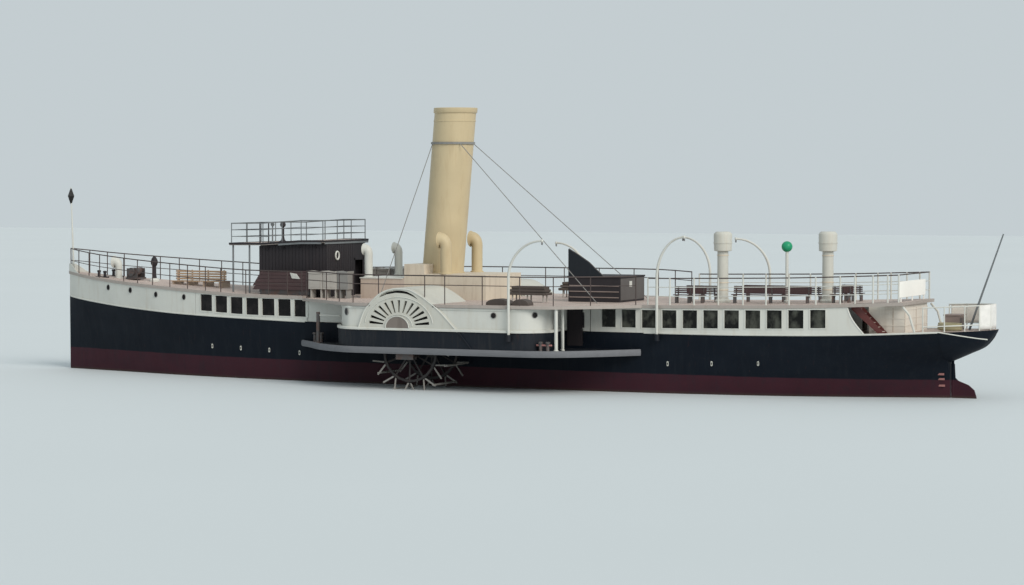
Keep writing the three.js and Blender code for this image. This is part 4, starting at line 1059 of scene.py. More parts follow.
@dataclass
class Walls:
    """White sides of the saloons with their windows, and the closed bow ahead of them."""

    thick: float = 0.12
    border: float = 0.05
    bow: Pair = (14.72, 25.04)
    bow_ports: Plan = ((21.42, 4.78), (19.6, 4.67), (17.6, 4.48), (15.52, 4.39))
    saloons: tuple[WindowRow, ...] = (
        WindowRow("fore_saloon_side", "window", (7.45, 14.7), 13.955, 1.035, 7, 0.4, 0.2, 0.92),
        WindowRow("aft_saloon_side", "aft_window", (-22.4, -9.35), -10.35, 1.112, 11, 0.39, 0.25, 0.92, True),
    )

    def build(self) -> None:
        """Builds the bow and the two saloons' sides."""
        self.forecastle()
        for row in self.saloons:
            self.wall(row)

    @staticmethod
    def on_side(x: Array, z: Array, out: float = 0.0) -> Array:
        """Points on the port side wall, on the straight line from the hull's edge to the deck's.

        Args:
            x: places along the ship, one for each height or one for each row of heights.
            z: heights.
            out: how far outside the wall.

        Returns:
            The points, with one more axis than z.
        """
        flat, level = np.broadcast_to(x, z.shape).ravel(), z.ravel()
        low_half, low = hull_edge(flat).T
        high, high_half = deck_edge(over_step(flat)).T
        foot, head = low_half - 0.004, high_half - 0.05
        t = (level - low) / (high - DECK_THICK - low)
        return spread(flat, foot + (head - foot) * t + out, level).reshape(*z.shape, 3)

    @staticmethod
    def rows(x: Array, row: WindowRow) -> Array:
        """Heights of the foot, the sill, the window's head and the top of the wall at each x."""
        deck = deck_edge(over_step(x))[:, 0]
        head = deck - row.drop
        return spread(hull_edge(x)[:, 1], head - row.high, head, deck - DECK_THICK)

    def wall(self, row: WindowRow) -> None:
        """Both sides of a wall pierced by a row of windows, with narrow frames and glass in them."""
        middles = row.first - row.pitch * np.arange(row.count)[::-1]
        edges = spread(middles - row.half, middles + row.half).ravel()
        x = np.concatenate([[row.ends[0]], edges, [row.ends[1]]])
        z = self.rows(x, row)
        keep = np.ones((len(x) - 1, 3), bool)
        keep[1::2, 1] = False
        heads = self.rows(middles, row)[:, 2]
        for side, sign in SIDES:
            shape = Shape(f"{row.name}_wall_{side}")
            shape.pierced(self.on_side(x[:, None], z), self.on_side(x[:, None], z, -self.thick), keep)
            self.frames(shape, middles, heads, row)
            for middle, head in zip(middles, heads):
                self.pane(shape, middle, row.half + 0.02, (head - row.high - 0.02, head + 0.02))
            if row.swept:
                self.swept_end(shape, row.ends[0])
            shape.beside(sign).build(f"white white {row.glass}", f"{row.name}_{side}", "white_paint")

    def pane(self, shape: Shape, middle: float, half: float, levels: Pair) -> None:
        """A pane that leans with the wall, a little inside it."""
        across = np.array([[middle - half], [middle + half]])
        heights = np.array([levels] * 2)
        front, back = (self.on_side(across, heights, out) for out in (-0.06, -0.08))
        shape.pierced(front, back, np.ones((1, 1), bool), tint=2)

    def swept_end(self, shape: Shape, start: float) -> None:
        """The plate abaft the windows, whose free edge sweeps down and aft to the main deck."""
        level = np.linspace(0, 1, 12)
        z, x = np.array([[3.2, 3.7, 4.1, 4.5, 4.7], [-23.75, -23.35, -23.1, -22.95, -22.9]])
        edge = through(z, x, z[0] + 1.4 * level)
        fore = start + 0.05
        x = fore + (edge - fore) * np.linspace(0, 1, 8)[:, None]
        low = hull_edge(x.ravel())[:, 1].reshape(x.shape)
        top = deck_edge(x.ravel())[:, 0].reshape(x.shape) - DECK_THICK
        z = low + (top - low) * level
        outer = self.on_side(x, z)
        shape.pierced(outer, self.on_side(x, z, -self.thick), np.ones((7, 11), bool))
        shape.tube(outer[-1] - [0, 0.03, 0], 0.05)

    def frames(self, shape: Shape, middles: Array, heads: Array, row: WindowRow) -> None:
        """Raised frames round a row of windows."""
        half, rim = row.half, self.border
        x = (middles[:, None] + [-half - rim, -half, half, half + rim]).reshape(-1, 1)
        z = np.repeat(heads, 4)[:, None] + [-row.high - rim, -row.high, 0, rim]
        keep = np.ones((len(x) - 1, 3), bool)
        keep[1::4, 1] = False
        keep[3::4, :] = False
        shape.pierced(self.on_side(x, z, 0.02), self.on_side(x, z, -0.01), keep, tint=1)

    def forecastle(self) -> None:
        """The closed bow: straight lines from the hull's edge to the deck's at each station."""
        x = np.linspace(*self.bow, 48)
        low, high = hull_edge(x)[:, 1:], deck_edge(x)[:, :1] - DECK_THICK
        port = self.on_side(x[:, None], low + (high - low) * np.linspace(0, 1, 5))
        starboard = port * MIRROR
        shape = Shape("forecastle_skin")
        shape.grid(port)
        shape.grid(starboard)
        for row in (0, -1):
            shape.grid(np.stack([port[:, row], starboard[:, row]], 1))
            shape.cap(np.concatenate([port[row], starboard[row, ::-1]]))
        for place, level in self.bow_ports:
            y = float(self.on_side(np.array([place]), np.array([level]))[0, 1])
            rim, pane = oval((place, level), (0.115, 0.17), 24), oval((place, level), (0.09, 0.14), 24)
            for sign in (1, -1):
                shape.prism(rim, sign * (y - 0.12), sign * (y + 0.03), axis=1, tint=1)
                shape.prism(pane, sign * (y - 0.1), sign * (y + 0.045), axis=1, tint=2)
        shape.build("white grey window", "forecastle", "white_paint")


@dataclass
class Decks:
    """The promenade deck in three lengths, with the benches, lockers and gear on it."""

    outline: Plan = (
        (DECK_JOIN, 3.7), (-11.8, 4.2), (-10.4, 5.8), (-8.9, 7.1), (-7.2, 7.6), (-2.2, 7.6), (-2.2, 3.72),
        (1.41, 3.72), (1.41, 7.6), (2.3, 7.6), (3.1, 7.3), (4.0, 6.6), (5.4, 5.3), (7.6, 3.7), (7.62, 3.7),
    )
    stairwell: tuple[float, float, float, float] = (-24.5, -22.9, 1.9, 2.66)
    seat_runs: Plan = ((-14.6, -12.9), (-20.3, -16.1), (-22.5, -21.4))
    locker_runs: tuple[tuple[float, float, int], ...] = ((4.98, 5.62, 1), (5.66, 6.5, 0), (6.54, 7.4, 0))
    float_runs: Plan = ((-6.4, -5.05), (-7.45, -6.52))
    seat_x: Pair = (14.6, 17.9)
    post_x: float = 19.36
    staff_x: float = 24.99

    def build(self) -> None:
        """Builds the three lengths of deck and what stands on them."""
        self.slab("promenade_deck_fore", DECK_STEP, 25.1)
        self.slab("promenade_deck_aft", DECK_END, DECK_JOIN, self.stairwell)
        for make in (
            self.middle, self.seats, self.side_bench, self.lockers, self.raft, self.floats, self.stem_plates,
            self.fittings, self.foredeck_seat, self.diamond, self.small_cowl,
        ):
            make()

    def slab(self, name: str, start: float, stop: float, hole: Sequence[float] | None = None) -> None:
        """A length of deck that follows the ship's outline and rise.

        Args:
            name: the solid it stands for.
            start: its after end.
            stop: its fore end.
            hole: low x, high x, low y and high y of an opening, or None.
        """
        x = np.linspace(start, stop, 40)
        if hole:
            x = np.union1d(x, hole[:2])
        top, half = deck_edge(x).T
        y = half[:, None] * [-1.0, -0.5, 0.0, 0.5, 1.0]
        if hole:
            y = np.concatenate([y[:, :3], np.broadcast_to(hole[2:], (len(x), 2)), y[:, 4:]], 1)
        face = spread(x[:, None], y, top[:, None])
        keep = np.ones((len(x) - 1, y.shape[1] - 1), bool)
        if hole:
            middle = (x[1:] + x[:-1]) / 2
            keep[(middle > hole[0]) & (middle < hole[1]), 3] = False
        shape = Shape(f"{name}_planks")
        shape.pierced(face, face - [0, 0, DECK_THICK], keep)
        shape.build("planks", name, "deck_wood")

    def middle(self) -> None:
        """The deck over the sponsons, notched for the paddle boxes and open under the casing."""
        shape = Shape("promenade_deck_mid_planks")
        inner = 2.0
        side = np.array(self.outline + ((DECK_STEP, inner), (DECK_JOIN, inner)))
        for sign in (1, -1):
            shape.prism(side * [1, sign], DECK_UNDER, DECK_MID)
        for ends in ((4.6, DECK_STEP), (DECK_JOIN, -2.45)):
            shape.blocks(ends, (-inner, inner), (DECK_UNDER, DECK_MID))
        shape.build("planks", "promenade_deck_mid", "deck_wood")

    def seats(self) -> None:
        """Slatted benches with iron ends, back to back along the middle of the after deck."""
        shape = Shape("deck_seats")
        for start, stop in self.seat_runs:
            deck = deck_top((start + stop) / 2)
            y = 0.78 + np.arange(5) * 0.085
            shape.blocks((start, stop), (y, y + 0.06), (deck + 0.4, deck + 0.44))
            k = np.arange(4)
            z = deck + 0.5 + k * 0.095
            shape.blocks((start, stop), (0.76 - 0.01 * k, 0.79 - 0.01 * k), (z, z + 0.07))
            ends = np.array([start + 0.12, (start + stop) / 2, stop - 0.16])
            shape.blocks((ends, ends + 0.05), (0.78, 1.18), (deck - 0.08, deck + 0.4), tint=1)
            shape.blocks((ends, ends + 0.05), (0.72, 0.8), (deck + 0.3, deck + 0.86), tint=1)
        shape.mirror().build("wood iron", slot="brown_wood")

    def side_bench(self) -> None:
        """The boarded bench beside the bridge house, with a pale sheet on it."""
        shape = Shape("bridge_side_bench")
        aft = 7.46
        for k in range(5):
            low, high = 4.9 + k * 0.2, 5.095 + k * 0.2
            fore = 11.0 - max(0, k - 1) * 0.14
            board = [(aft, low), (fore, low), (fore - 0.12, high), (aft, high)]
            shape.prism(board, 2.84 + k * 0.02, 3.22 + k * 0.012, axis=1)
        shape.blocks((7.5, 10.6), (2.95, 3.1), (4.62, 4.95), tint=1)
        shape.blocks((7.44, 10.3), (2.86, 3.3), (5.88, 5.93))
        shape.prism([(8.62, 5.84), (8.2, 5.78), (8.0, 5.5), (8.5, 5.53)], 3.24, 3.3, axis=1, tint=2)
        shape.mirror().build("wood iron white", slot="brown_wood", bevel=0.01)

    def lockers(self) -> None:
        """Three lockers on short legs, with lids that sag a little."""
        shape = Shape("deck_lockers")
        for start, stop, tint in self.locker_runs:
            shape.blocks((start, stop), (2.77, 3.42), (4.98, 5.86), tint)
            lid = np.linspace(0, 1, 9)
            top = spread(start - 0.01 + (stop - start + 0.02) * lid, 5.97 - 0.05 * np.sin(np.pi * lid))
            shape.prism(np.concatenate([top, top[::-1] - [0, 0.12]]), 2.74, 3.46, axis=1, tint=tint)
            shape.blocks((start + 0.1, stop - 0.1), (3.42, 3.435), (5.08, 5.78), tint)
            legs = np.array([start + 0.08, stop - 0.16])
            shape.blocks((legs, legs + 0.08), (2.85, 3.35), (4.46, 5.0), tint)
        shape.mirror().build("locker grey", slot="grey_metal", bevel=0.015)

    def raft(self) -> None:
        """A covered raft in three tiers on six legs."""
        shape = Shape("deck_raft")
        k = np.arange(3)
        z = 4.88 + k * 0.16
        shape.blocks((-6.82 + k * 0.07, -4.58 - k * 0.1), (2.85 + k * 0.03, 3.6 - k * 0.03), (z, z + 0.14))
        shape.blocks((-6.7, -4.8), (2.95, 3.5), (4.96, 5.28))
        x, y = np.repeat([-6.6, -5.7, -4.85], 2), np.tile([2.95, 3.42], 3)
        shape.blocks((x, x + 0.07), (y, y + 0.07), (4.47, 4.92), tint=1)
        shape.mirror().build("cover_paint locker", slot="dark_paint", bevel=0.02)

    def floats(self) -> None:
        """Low floats with round tops at the deck's port edge."""
        shape = Shape("low_floats")
        for start, stop in self.float_runs:
            crown = oval(((start + stop) / 2, 4.56), ((stop - start) / 2, 0.27), 20, (0, math.pi))
            shape.prism(np.concatenate([crown, [[start, 4.48], [stop, 4.48]]]), 6.55, 7.2, axis=1)
        shape.build("cover_paint", slot="dark_paint", bevel=0.03)

    def stem_plates(self) -> None:
        """Plates that rise towards the stem on both sides, and the stem's head between them."""
        shape = Shape("stem_plates")
        x = np.linspace(24.0, 25.08, 16)
        top, half = deck_edge(x).T
        rise = np.interp(x, [24.0, 24.35, 24.6, 24.85, 25.08], [0.02, 0.14, 0.32, 0.46, 0.46])
        for sign in (1, -1):
            foot = spread(x, (half - 0.01) * sign, top - 0.03)
            head = foot + spread(0.0, -0.01 * sign, rise)
            inner = [0, -0.05 * sign, 0]
            shape.solid(np.stack([foot, head, head + inner, foot + inner], 1))
        shape.blocks((24.7, 25.08), (-0.09, 0.09), (5.5, 6.04))
        shape.build("white", slot="white_paint")

    def fittings(self) -> None:
        """Two pairs of bollards, and a capped post on a pale foot."""
        shape = Shape("foredeck_fittings")
        bollard = [(0, 0), (0.09, 0), (0.08, 0.28), (0.11, 0.31), (0.11, 0.37), (0.08, 0.4), (0, 0.4)]
        for x in (22.2, 22.6):
            for y in (0.75, -0.75):
                shape.turned(bollard, (x, y, deck_top(x) - 0.02), 14)
        shape.blocks((22.0, 22.8), (BOTH * 0.61, BOTH * 0.89), (5.22, 5.36))
        post = [
            (0, 0.16), (0.16, 0.16), (0.14, 0.3), (0.11, 0.5), (0.11, 0.95), (0.16, 1.02), (0.2, 1.14),
            (0.2, 1.24), (0.16, 1.38), (0.08, 1.5), (0, 1.54),
        ]
        shape.turned(post, (self.post_x, 0, 5.0), 20)
        foot = [(0, 0), (0.3, 0), (0.3, 0.1), (0.22, 0.2), (0, 0.2)]
        shape.turned(foot, (self.post_x, 0, 5.08), 20, tint=1)
        shape.build("dark white", slot="dark_paint")

    def foredeck_seat(self) -> None:
        """A long seat with two benches back to back."""
        shape = Shape("foredeck_seat")
        k = np.arange(4) * 0.14
        for low in (-0.62, 0.06):
            shape.blocks(self.seat_x, (k + low, k + low + 0.1), (5.14, 5.18))
        shape.blocks(self.seat_x, (-0.03, 0.03), (k + 5.24, k + 5.34))
        ends = np.array([14.7, 15.75, 16.8, 17.75])
        shape.blocks((ends, ends + 0.07), (-0.6, 0.56), (4.74, 5.14), tint=1)
        shape.blocks((ends, ends + 0.07), (-0.05, 0.05), (5.1, 5.8), tint=1)
        shape.build("tan_wood frame", slot="brown_wood", bevel=0.01)

    def diamond(self) -> None:
        """The black shape of four faces on the jackstaff."""
        shape = Shape("staff_diamond")
        outline = [(0, 9.45), (0.05, 9.5), (0.225, 9.94), (0.05, 10.36), (0, 10.4)]
        shape.turned(outline, (self.staff_x, 0, 0), 4)
        shape.build("black", slot="dark_paint")

    def small_cowl(self) -> None:
        """The small ventilator on the foredeck."""
        shape = Shape("foredeck_cowl")
        shape.cowl(21.75, 0, 5.2, 6.52, 0.2, 0.34)
        shape.build("white dark", slot="white_paint")


@dataclass
class Sponsons:
    """The guards beside the wheels, their bulwarks and the houses that stand on them."""

    guard_fore: Plan = ((2.05, 7.6), (2.7, 7.55), (3.7, 7.15), (5.1, 6.2), (6.6, 4.6), (7.62, 3.65))
    guard_aft: Plan = ((-12.1, 3.65), (-10.4, 5.8), (-8.9, 7.1), (-7.3, 7.6), (-5.2, 7.6), (-3.05, 7.6))
    bulwark_fore: Plan = ((2.05, 7.6), (2.7, 7.52), (3.3, 7.15), (3.9, 6.4), (4.45, 5.3), (4.7, 3.65))
    bulwark_aft: Plan = (
        (-7.88, 3.65), (-8.1, 5.0), (-8.28, 6.0), (-8.2, 6.5), (-7.82, 7.03), (-7.45, 7.4), (-6.9, 7.6),
        (-5.2, 7.6), (-3.05, 7.6),
    )
    house_fore: Plan = ((1.53, 7.5), (2.7, 7.42), (3.25, 7.0), (3.75, 6.3), (4.25, 5.3), (4.5, 3.8))
    house_aft: Plan = (
        (-7.8, 3.8), (-8.0, 5.0), (-8.18, 6.0), (-8.1, 6.5), (-7.75, 7.0), (-7.4, 7.33), (-6.9, 7.5),
        (-5.2, 7.5), (-2.4, 7.5),
    )
    strake_z: float = 2.07
    strake: Plan = ((-0.02, -0.17), (0.06, -0.16), (0.09, -0.06), (0.09, 0.06), (0.06, 0.16), (-0.02, 0.17))
    capping: Plan = ((-0.13, 0), (0.06, 0), (0.06, 0.1), (0.03, 0.13), (-0.13, 0.13))
    davit_cups: Plan = ((-6.58, 7.7), (-3.95, -7.7))

    def build(self) -> None:
        """Builds both sides."""
        for side, sign in SIDES:
            self.guards(side, sign)
            for name, points, portholes in (
                ("fore", self.house_fore, ((2.92, 4.02, 0.17),)),
                ("aft", self.house_aft, ((-5.64, 3.99, 0.13), (-7.72, 4.03, 0.13))),
            ):
                self.house(f"sponson_house_{name}", side, sign, points, portholes)

    @staticmethod
    def line(points: Plan, z: float, count: int = 40) -> Array:
        """A rounded plan line at one height."""
        return spread(*smooth_outline(points, count).T, z)

    def guards(self, side: str, sign: int) -> None:
        """Platform, bulwark, beam, strakes and posts of one side."""
        shape = Shape(f"sponson_{side}_plating")
        for fore, aft, top in (
            (self.guard_fore, self.guard_aft, GUARD_TOP), (self.bulwark_fore, self.bulwark_aft, SPONSON_TOP),
        ):
            for points, well in ((fore, WELL_FORE), (aft, WELL_AFT)):
                shape.prism(np.concatenate([smooth_outline(points, 40), [[well, SIDE_Y]]]), GUARD_Z, top)
        shape.blocks((WELL_AFT - 0.1, WELL_FORE + 0.1), (7.3, SPONSON_Y - 0.004), (GUARD_Z, SPONSON_TOP))
        for y, z in (((6.95, 7.32), (1.6, 1.76)), ((6.95, 7.32), (2.14, 2.4)), ((7.25, 7.4), (1.6, 2.4))):
            shape.blocks((-1.0, 0.0), y, z, tint=1)
        between = np.linspace(WELL_AFT, WELL_FORE, 6)
        for fore, aft, level, section, tint in (
            (self.guard_fore, self.guard_aft, self.strake_z, self.strake, 2),
            (self.bulwark_fore, self.bulwark_aft, SPONSON_TOP, self.capping, 3),
        ):
            for line in (self.line(fore, level), self.line(aft, level), spread(between, SPONSON_Y, level)):
                shape.strip(line, section, tint)
        self.posts(shape)
        for x, y in self.davit_cups:
            if y * sign > 0:
                shape.turned(DAVIT_RING, (x, y * sign, 0), 16)
        shape.beside(sign).build("navy iron guard white pink", f"sponson_{side}", "hull_paint")

    @staticmethod
    def posts(shape: Shape) -> None:
        """Bollards, pillars up to the deck, and the bars beside them."""
        bollard = [
            (0, -0.02), (0.11, -0.02), (0.09, 0.03), (0.09, 0.38), (0.13, 0.41), (0.13, 0.48), (0.1, 0.5),
            (0, 0.5),
        ]
        for x, y in ((6.1, 4.3), (6.5, 4.3), (-8.5, 7.12), (-8.1, 7.12)):
            shape.turned(bollard, (x, y, GUARD_TOP), 14, tint=1)
        shape.bars([-8.72, 7.12, 2.52], [-7.88, 7.12, 2.52], 0.05, 10, tint=4)
        shape.bars([5.75, 5.3, 3.68], [4.42, 5.3, 3.68], 0.04, 8, tint=3)
        shape.tube(spread([-3.7, -3.95, -4.2, -4.42], 7.63, [3.1, 2.85, 2.55, 2.28]), 0.035)
        for x, y, radius, top, tint in (
            (-8.86, 6.9, 0.09, DECK_UNDER, 3), (-8.84, 6, 0.06, DECK_UNDER, 3),
            (-8.7, 5.8, 0.06, DECK_UNDER, 3), (5.75, 5.3, 0.1, 3.85, 1),
        ):
            wide, high = radius * 1.5, top - GUARD_TOP
            pillar = [(0, 0), (wide, 0), (wide, 0.05), (radius, 0.08), (radius, high), (0, high)]
            shape.turned(pillar, (x, y, GUARD_TOP), 14, tint=tint)

    def house(self, name: str, side: str, sign: int, points: Plan, portholes: Sequence) -> None:
        """A rounded white house on the sponson with its portholes.

        Args:
            name: the solid it stands for, without its side.
            side: port or starboard.
            sign: 1 for port and -1 for starboard.
            points: its outline on the port side, with the outside to the left of the walk.
            portholes: x, z and radius of each porthole.
        """
        shape = Shape(f"{name}_{side}_walls")
        high = DECK_UNDER - SPONSON_TOP
        for low, top, inner, outer in ((0, high, -0.12, 0), (high - 0.12, high - 0.02, -0.02, 0.035)):
            section = [(outer, low), (outer, top), (inner, top), (inner, low)]
            shape.strip(self.line(points, SPONSON_TOP, 60), section)
        walk = self.line(points, 0.0, 200)
        ahead = unit(np.gradient(walk, axis=0))
        for place, level, radius in portholes:
            k = int(np.argmin(np.abs(walk[:, 0] - place) - 10 * (walk[:, 1] > 6)))
            out = np.array([-ahead[k, 1], ahead[k, 0], 0])
            centre = walk[k] + [0, 0, level]
            for size, proud, tint in ((radius + 0.03, 0.03, 1), (radius, 0.04, 2)):
                shape.bars(centre - out * 0.05, centre + out * proud, size, 20, tint)
        shape.beside(sign).build("white grey window", f"{name}_{side}", "white_paint")


@dataclass
class PaddleBoxes:
    """Roofs, mouldings, boss and a black sheet inside the paddle boxes that is painted shade."""

    fan: Pair = (-0.28, 3.36)
    fan_reach: Pair = (1.76, 1.32)
    # Edge seen from the side: x, z
    edge: Plan = (
        (2.12, 3.12), (2.0, 3.5), (1.78, 4.04), (1.35, 4.55), (0.9, 4.94), (0.43, 5.17), (-0.17, 5.28),
        (-0.77, 5.25), (-1.42, 4.99), (-1.97, 4.65), (-2.56, 4.22), (-3.35, 3.44), (-3.67, 3.12),
    )

    def ring(self, out: float, count: int = 72) -> Array:
        """The box's rounded edge (x, z), moved out square to itself."""
        line = smooth_outline(self.edge, count)
        ahead = unit(np.gradient(line, axis=0))
        return line + spread(ahead[:, 1], -ahead[:, 0]) * out

    @staticmethod
    def bead(shape: Shape, line: Array, y: float, radius: float, around: int = 6) -> None:
        """A pale round moulding along a line (x, z) on the box's face."""
        shape.tube(spread(line[:, 0], y, line[:, 1]), radius, around, tint=1)

    def build(self) -> None:
        """Builds the roof, the mouldings, the boss and the black backing, painted shade, of both boxes."""
        shape = Shape("paddle_box_trim")
        shape.prism(np.concatenate([self.ring(0.035), self.ring(0.004)[::-1]]), 3.71, SPONSON_Y, axis=1)
        self.bead(shape, self.ring(-0.02), SPONSON_Y, 0.035, 8)
        for size, gap in ((1.12, 0.1), (0.44, 0.0)):
            reach = np.array(self.fan_reach) * size
            self.bead(shape, oval(self.fan, reach, 40, (gap, math.pi - gap)), 7.61, 0.025)
        boss = oval((-0.2, 3.25), (0.68, 0.6), 24, (0, math.pi))
        shape.prism(boss, 7.58, 7.65, axis=1, tint=3)
        self.bead(shape, boss, 7.65, 0.03)
        # Black sheet just inside the face: painted shade in the box.
        shape.prism(self.ring(-0.14, 40), 7.33, 7.37, axis=1, tint=2)
        shape.mirror().build("cream white black boss", slot="white_paint")


@dataclass
class Funnel:
    """The raked funnel with its rim and bands."""

    foot: tuple[float, float, float] = (0.98, 0.0, CASING_TOP)
    high: float = 8.9
    radius: float = 1.12
    rake: float = 0.088

    def build(self) -> None:
        """Builds the funnel's tube with its bands, and its dark inside."""
        shape = Shape("funnel_tube")
        r, h = self.radius, self.high
        inside = r - 0.08
        outline = [
            (inside, 0.0), (r + 0.05, 0.0), (r + 0.05, 0.06), (r, 0.08), (r, h - 0.75), (r + 0.018, h - 0.74),
            (r + 0.018, h - 0.68), (r, h - 0.67), (r, h - 0.3), (r + 0.04, h - 0.28), (r + 0.06, h - 0.25),
            (r + 0.06, h - 0.02), (r + 0.03, h), (r - 0.06, h), (inside, h - 0.03),
        ]
        dark = [(inside, h - 0.03), (inside, 0.0)]
        plug = [(0, 5.0), (r - 0.07, 5.0)]
        for profile, tint in ((outline, 0), (dark, 1), (plug, 1)):
            shape.turned(profile, self.foot, 72, lean=self.rake, tint=tint)
        shape.build("buff black", "funnel", "buff_paint", 40)


@dataclass
class Ventilators:
    """Cowls, the two capped shafts and the green ball."""

    # Each tall shaft: name, x, top
    shafts: tuple[tuple[str, float, float], ...] = (("fore", -15.2, 8.2), ("aft", -20.9, 8.25))
    ball_x: float = -18.7
    ball_z: float = 7.46
    ball_radius: float = 0.28

    def build(self) -> None:
        """Builds every ventilator."""
        for side, sign in SIDES:
            for colour, place in (
                ("buff", (-0.15, 1.9 * sign, CASING_TOP, 8.08, 0.3, 0.42)),
                ("white", (4.6, 1.75 * sign, FORE_CASING_TOP, 7.42, 0.22, 0.3)),
            ):
                shape = Shape(f"{colour}_cowl_{side}")
                shape.cowl(*place)
                node = f"{colour}_ventilator_{side}"
                shape.build(f"{colour} dark", node, f"{colour}_paint")
        for name, x, top in self.shafts:
            self.shaft(name, x, top)
        lid = Shape("fore_casing_edge")
        lid.blocks((2.3, 4.9), (-2.24, 2.24), (FORE_CASING_TOP - 0.05, FORE_CASING_TOP + 0.02))
        lid.build("white", slot="white_paint", bevel=0.01)
        self.ball()

    def shaft(self, name: str, x: float, top: float) -> None:
        """A tall shaft with a wide cap and hoops round it."""
        shape = Shape(f"tall_shaft_{name}")
        base = deck_top(x)
        h = top - base
        outline = [
            (0, 0), (0.42, 0), (0.42, 0.1), (0.3, 0.2), (0.29, 0.3), (0.28, h - 1.02), (0.4, h - 1.0),
            (0.46, h - 0.98), (0.48, h - 0.15), (0.46, h - 0.1), (0.36, h), (0, h),
        ]
        shape.turned(outline, (x, 0, base), 32)
        for inner, outer, level, high, tint in (
            (0.465, 0.49, h - 0.62, 0.08, 0), (0.27, 0.305, 0.62, 0.07, 1), (0.27, 0.305, 1.0, 0.07, 1),
            (0.27, 0.305, h - 1.25, 0.07, 1),
        ):
            over = level + high
            hoop = [(inner, level), (outer, level + 0.01), (outer, over - 0.01), (inner, over)]
            shape.turned(hoop, (x, 0, base), 32, tint=tint)
        shape.build("cream tan", f"tall_ventilator_{name}", "cream_paint")

    def ball(self) -> None:
        """The green ball on its white post."""
        shape = Shape("green_ball")
        base = deck_top(self.ball_x)
        high = 7.22 - base
        post = [(0, 0), (0.16, 0), (0.16, 0.1), (0.08, 0.14), (0.08, high), (0, high)]
        shape.turned(post, (self.ball_x, 0, base), 20, tint=1)
        round_ = oval((0, 0), (self.ball_radius, self.ball_radius), 17, (-math.pi / 2, math.pi / 2))
        shape.turned(round_, (self.ball_x, 0, self.ball_z), 32)
        shape.build("green white", "ball_ventilator", "green_paint")


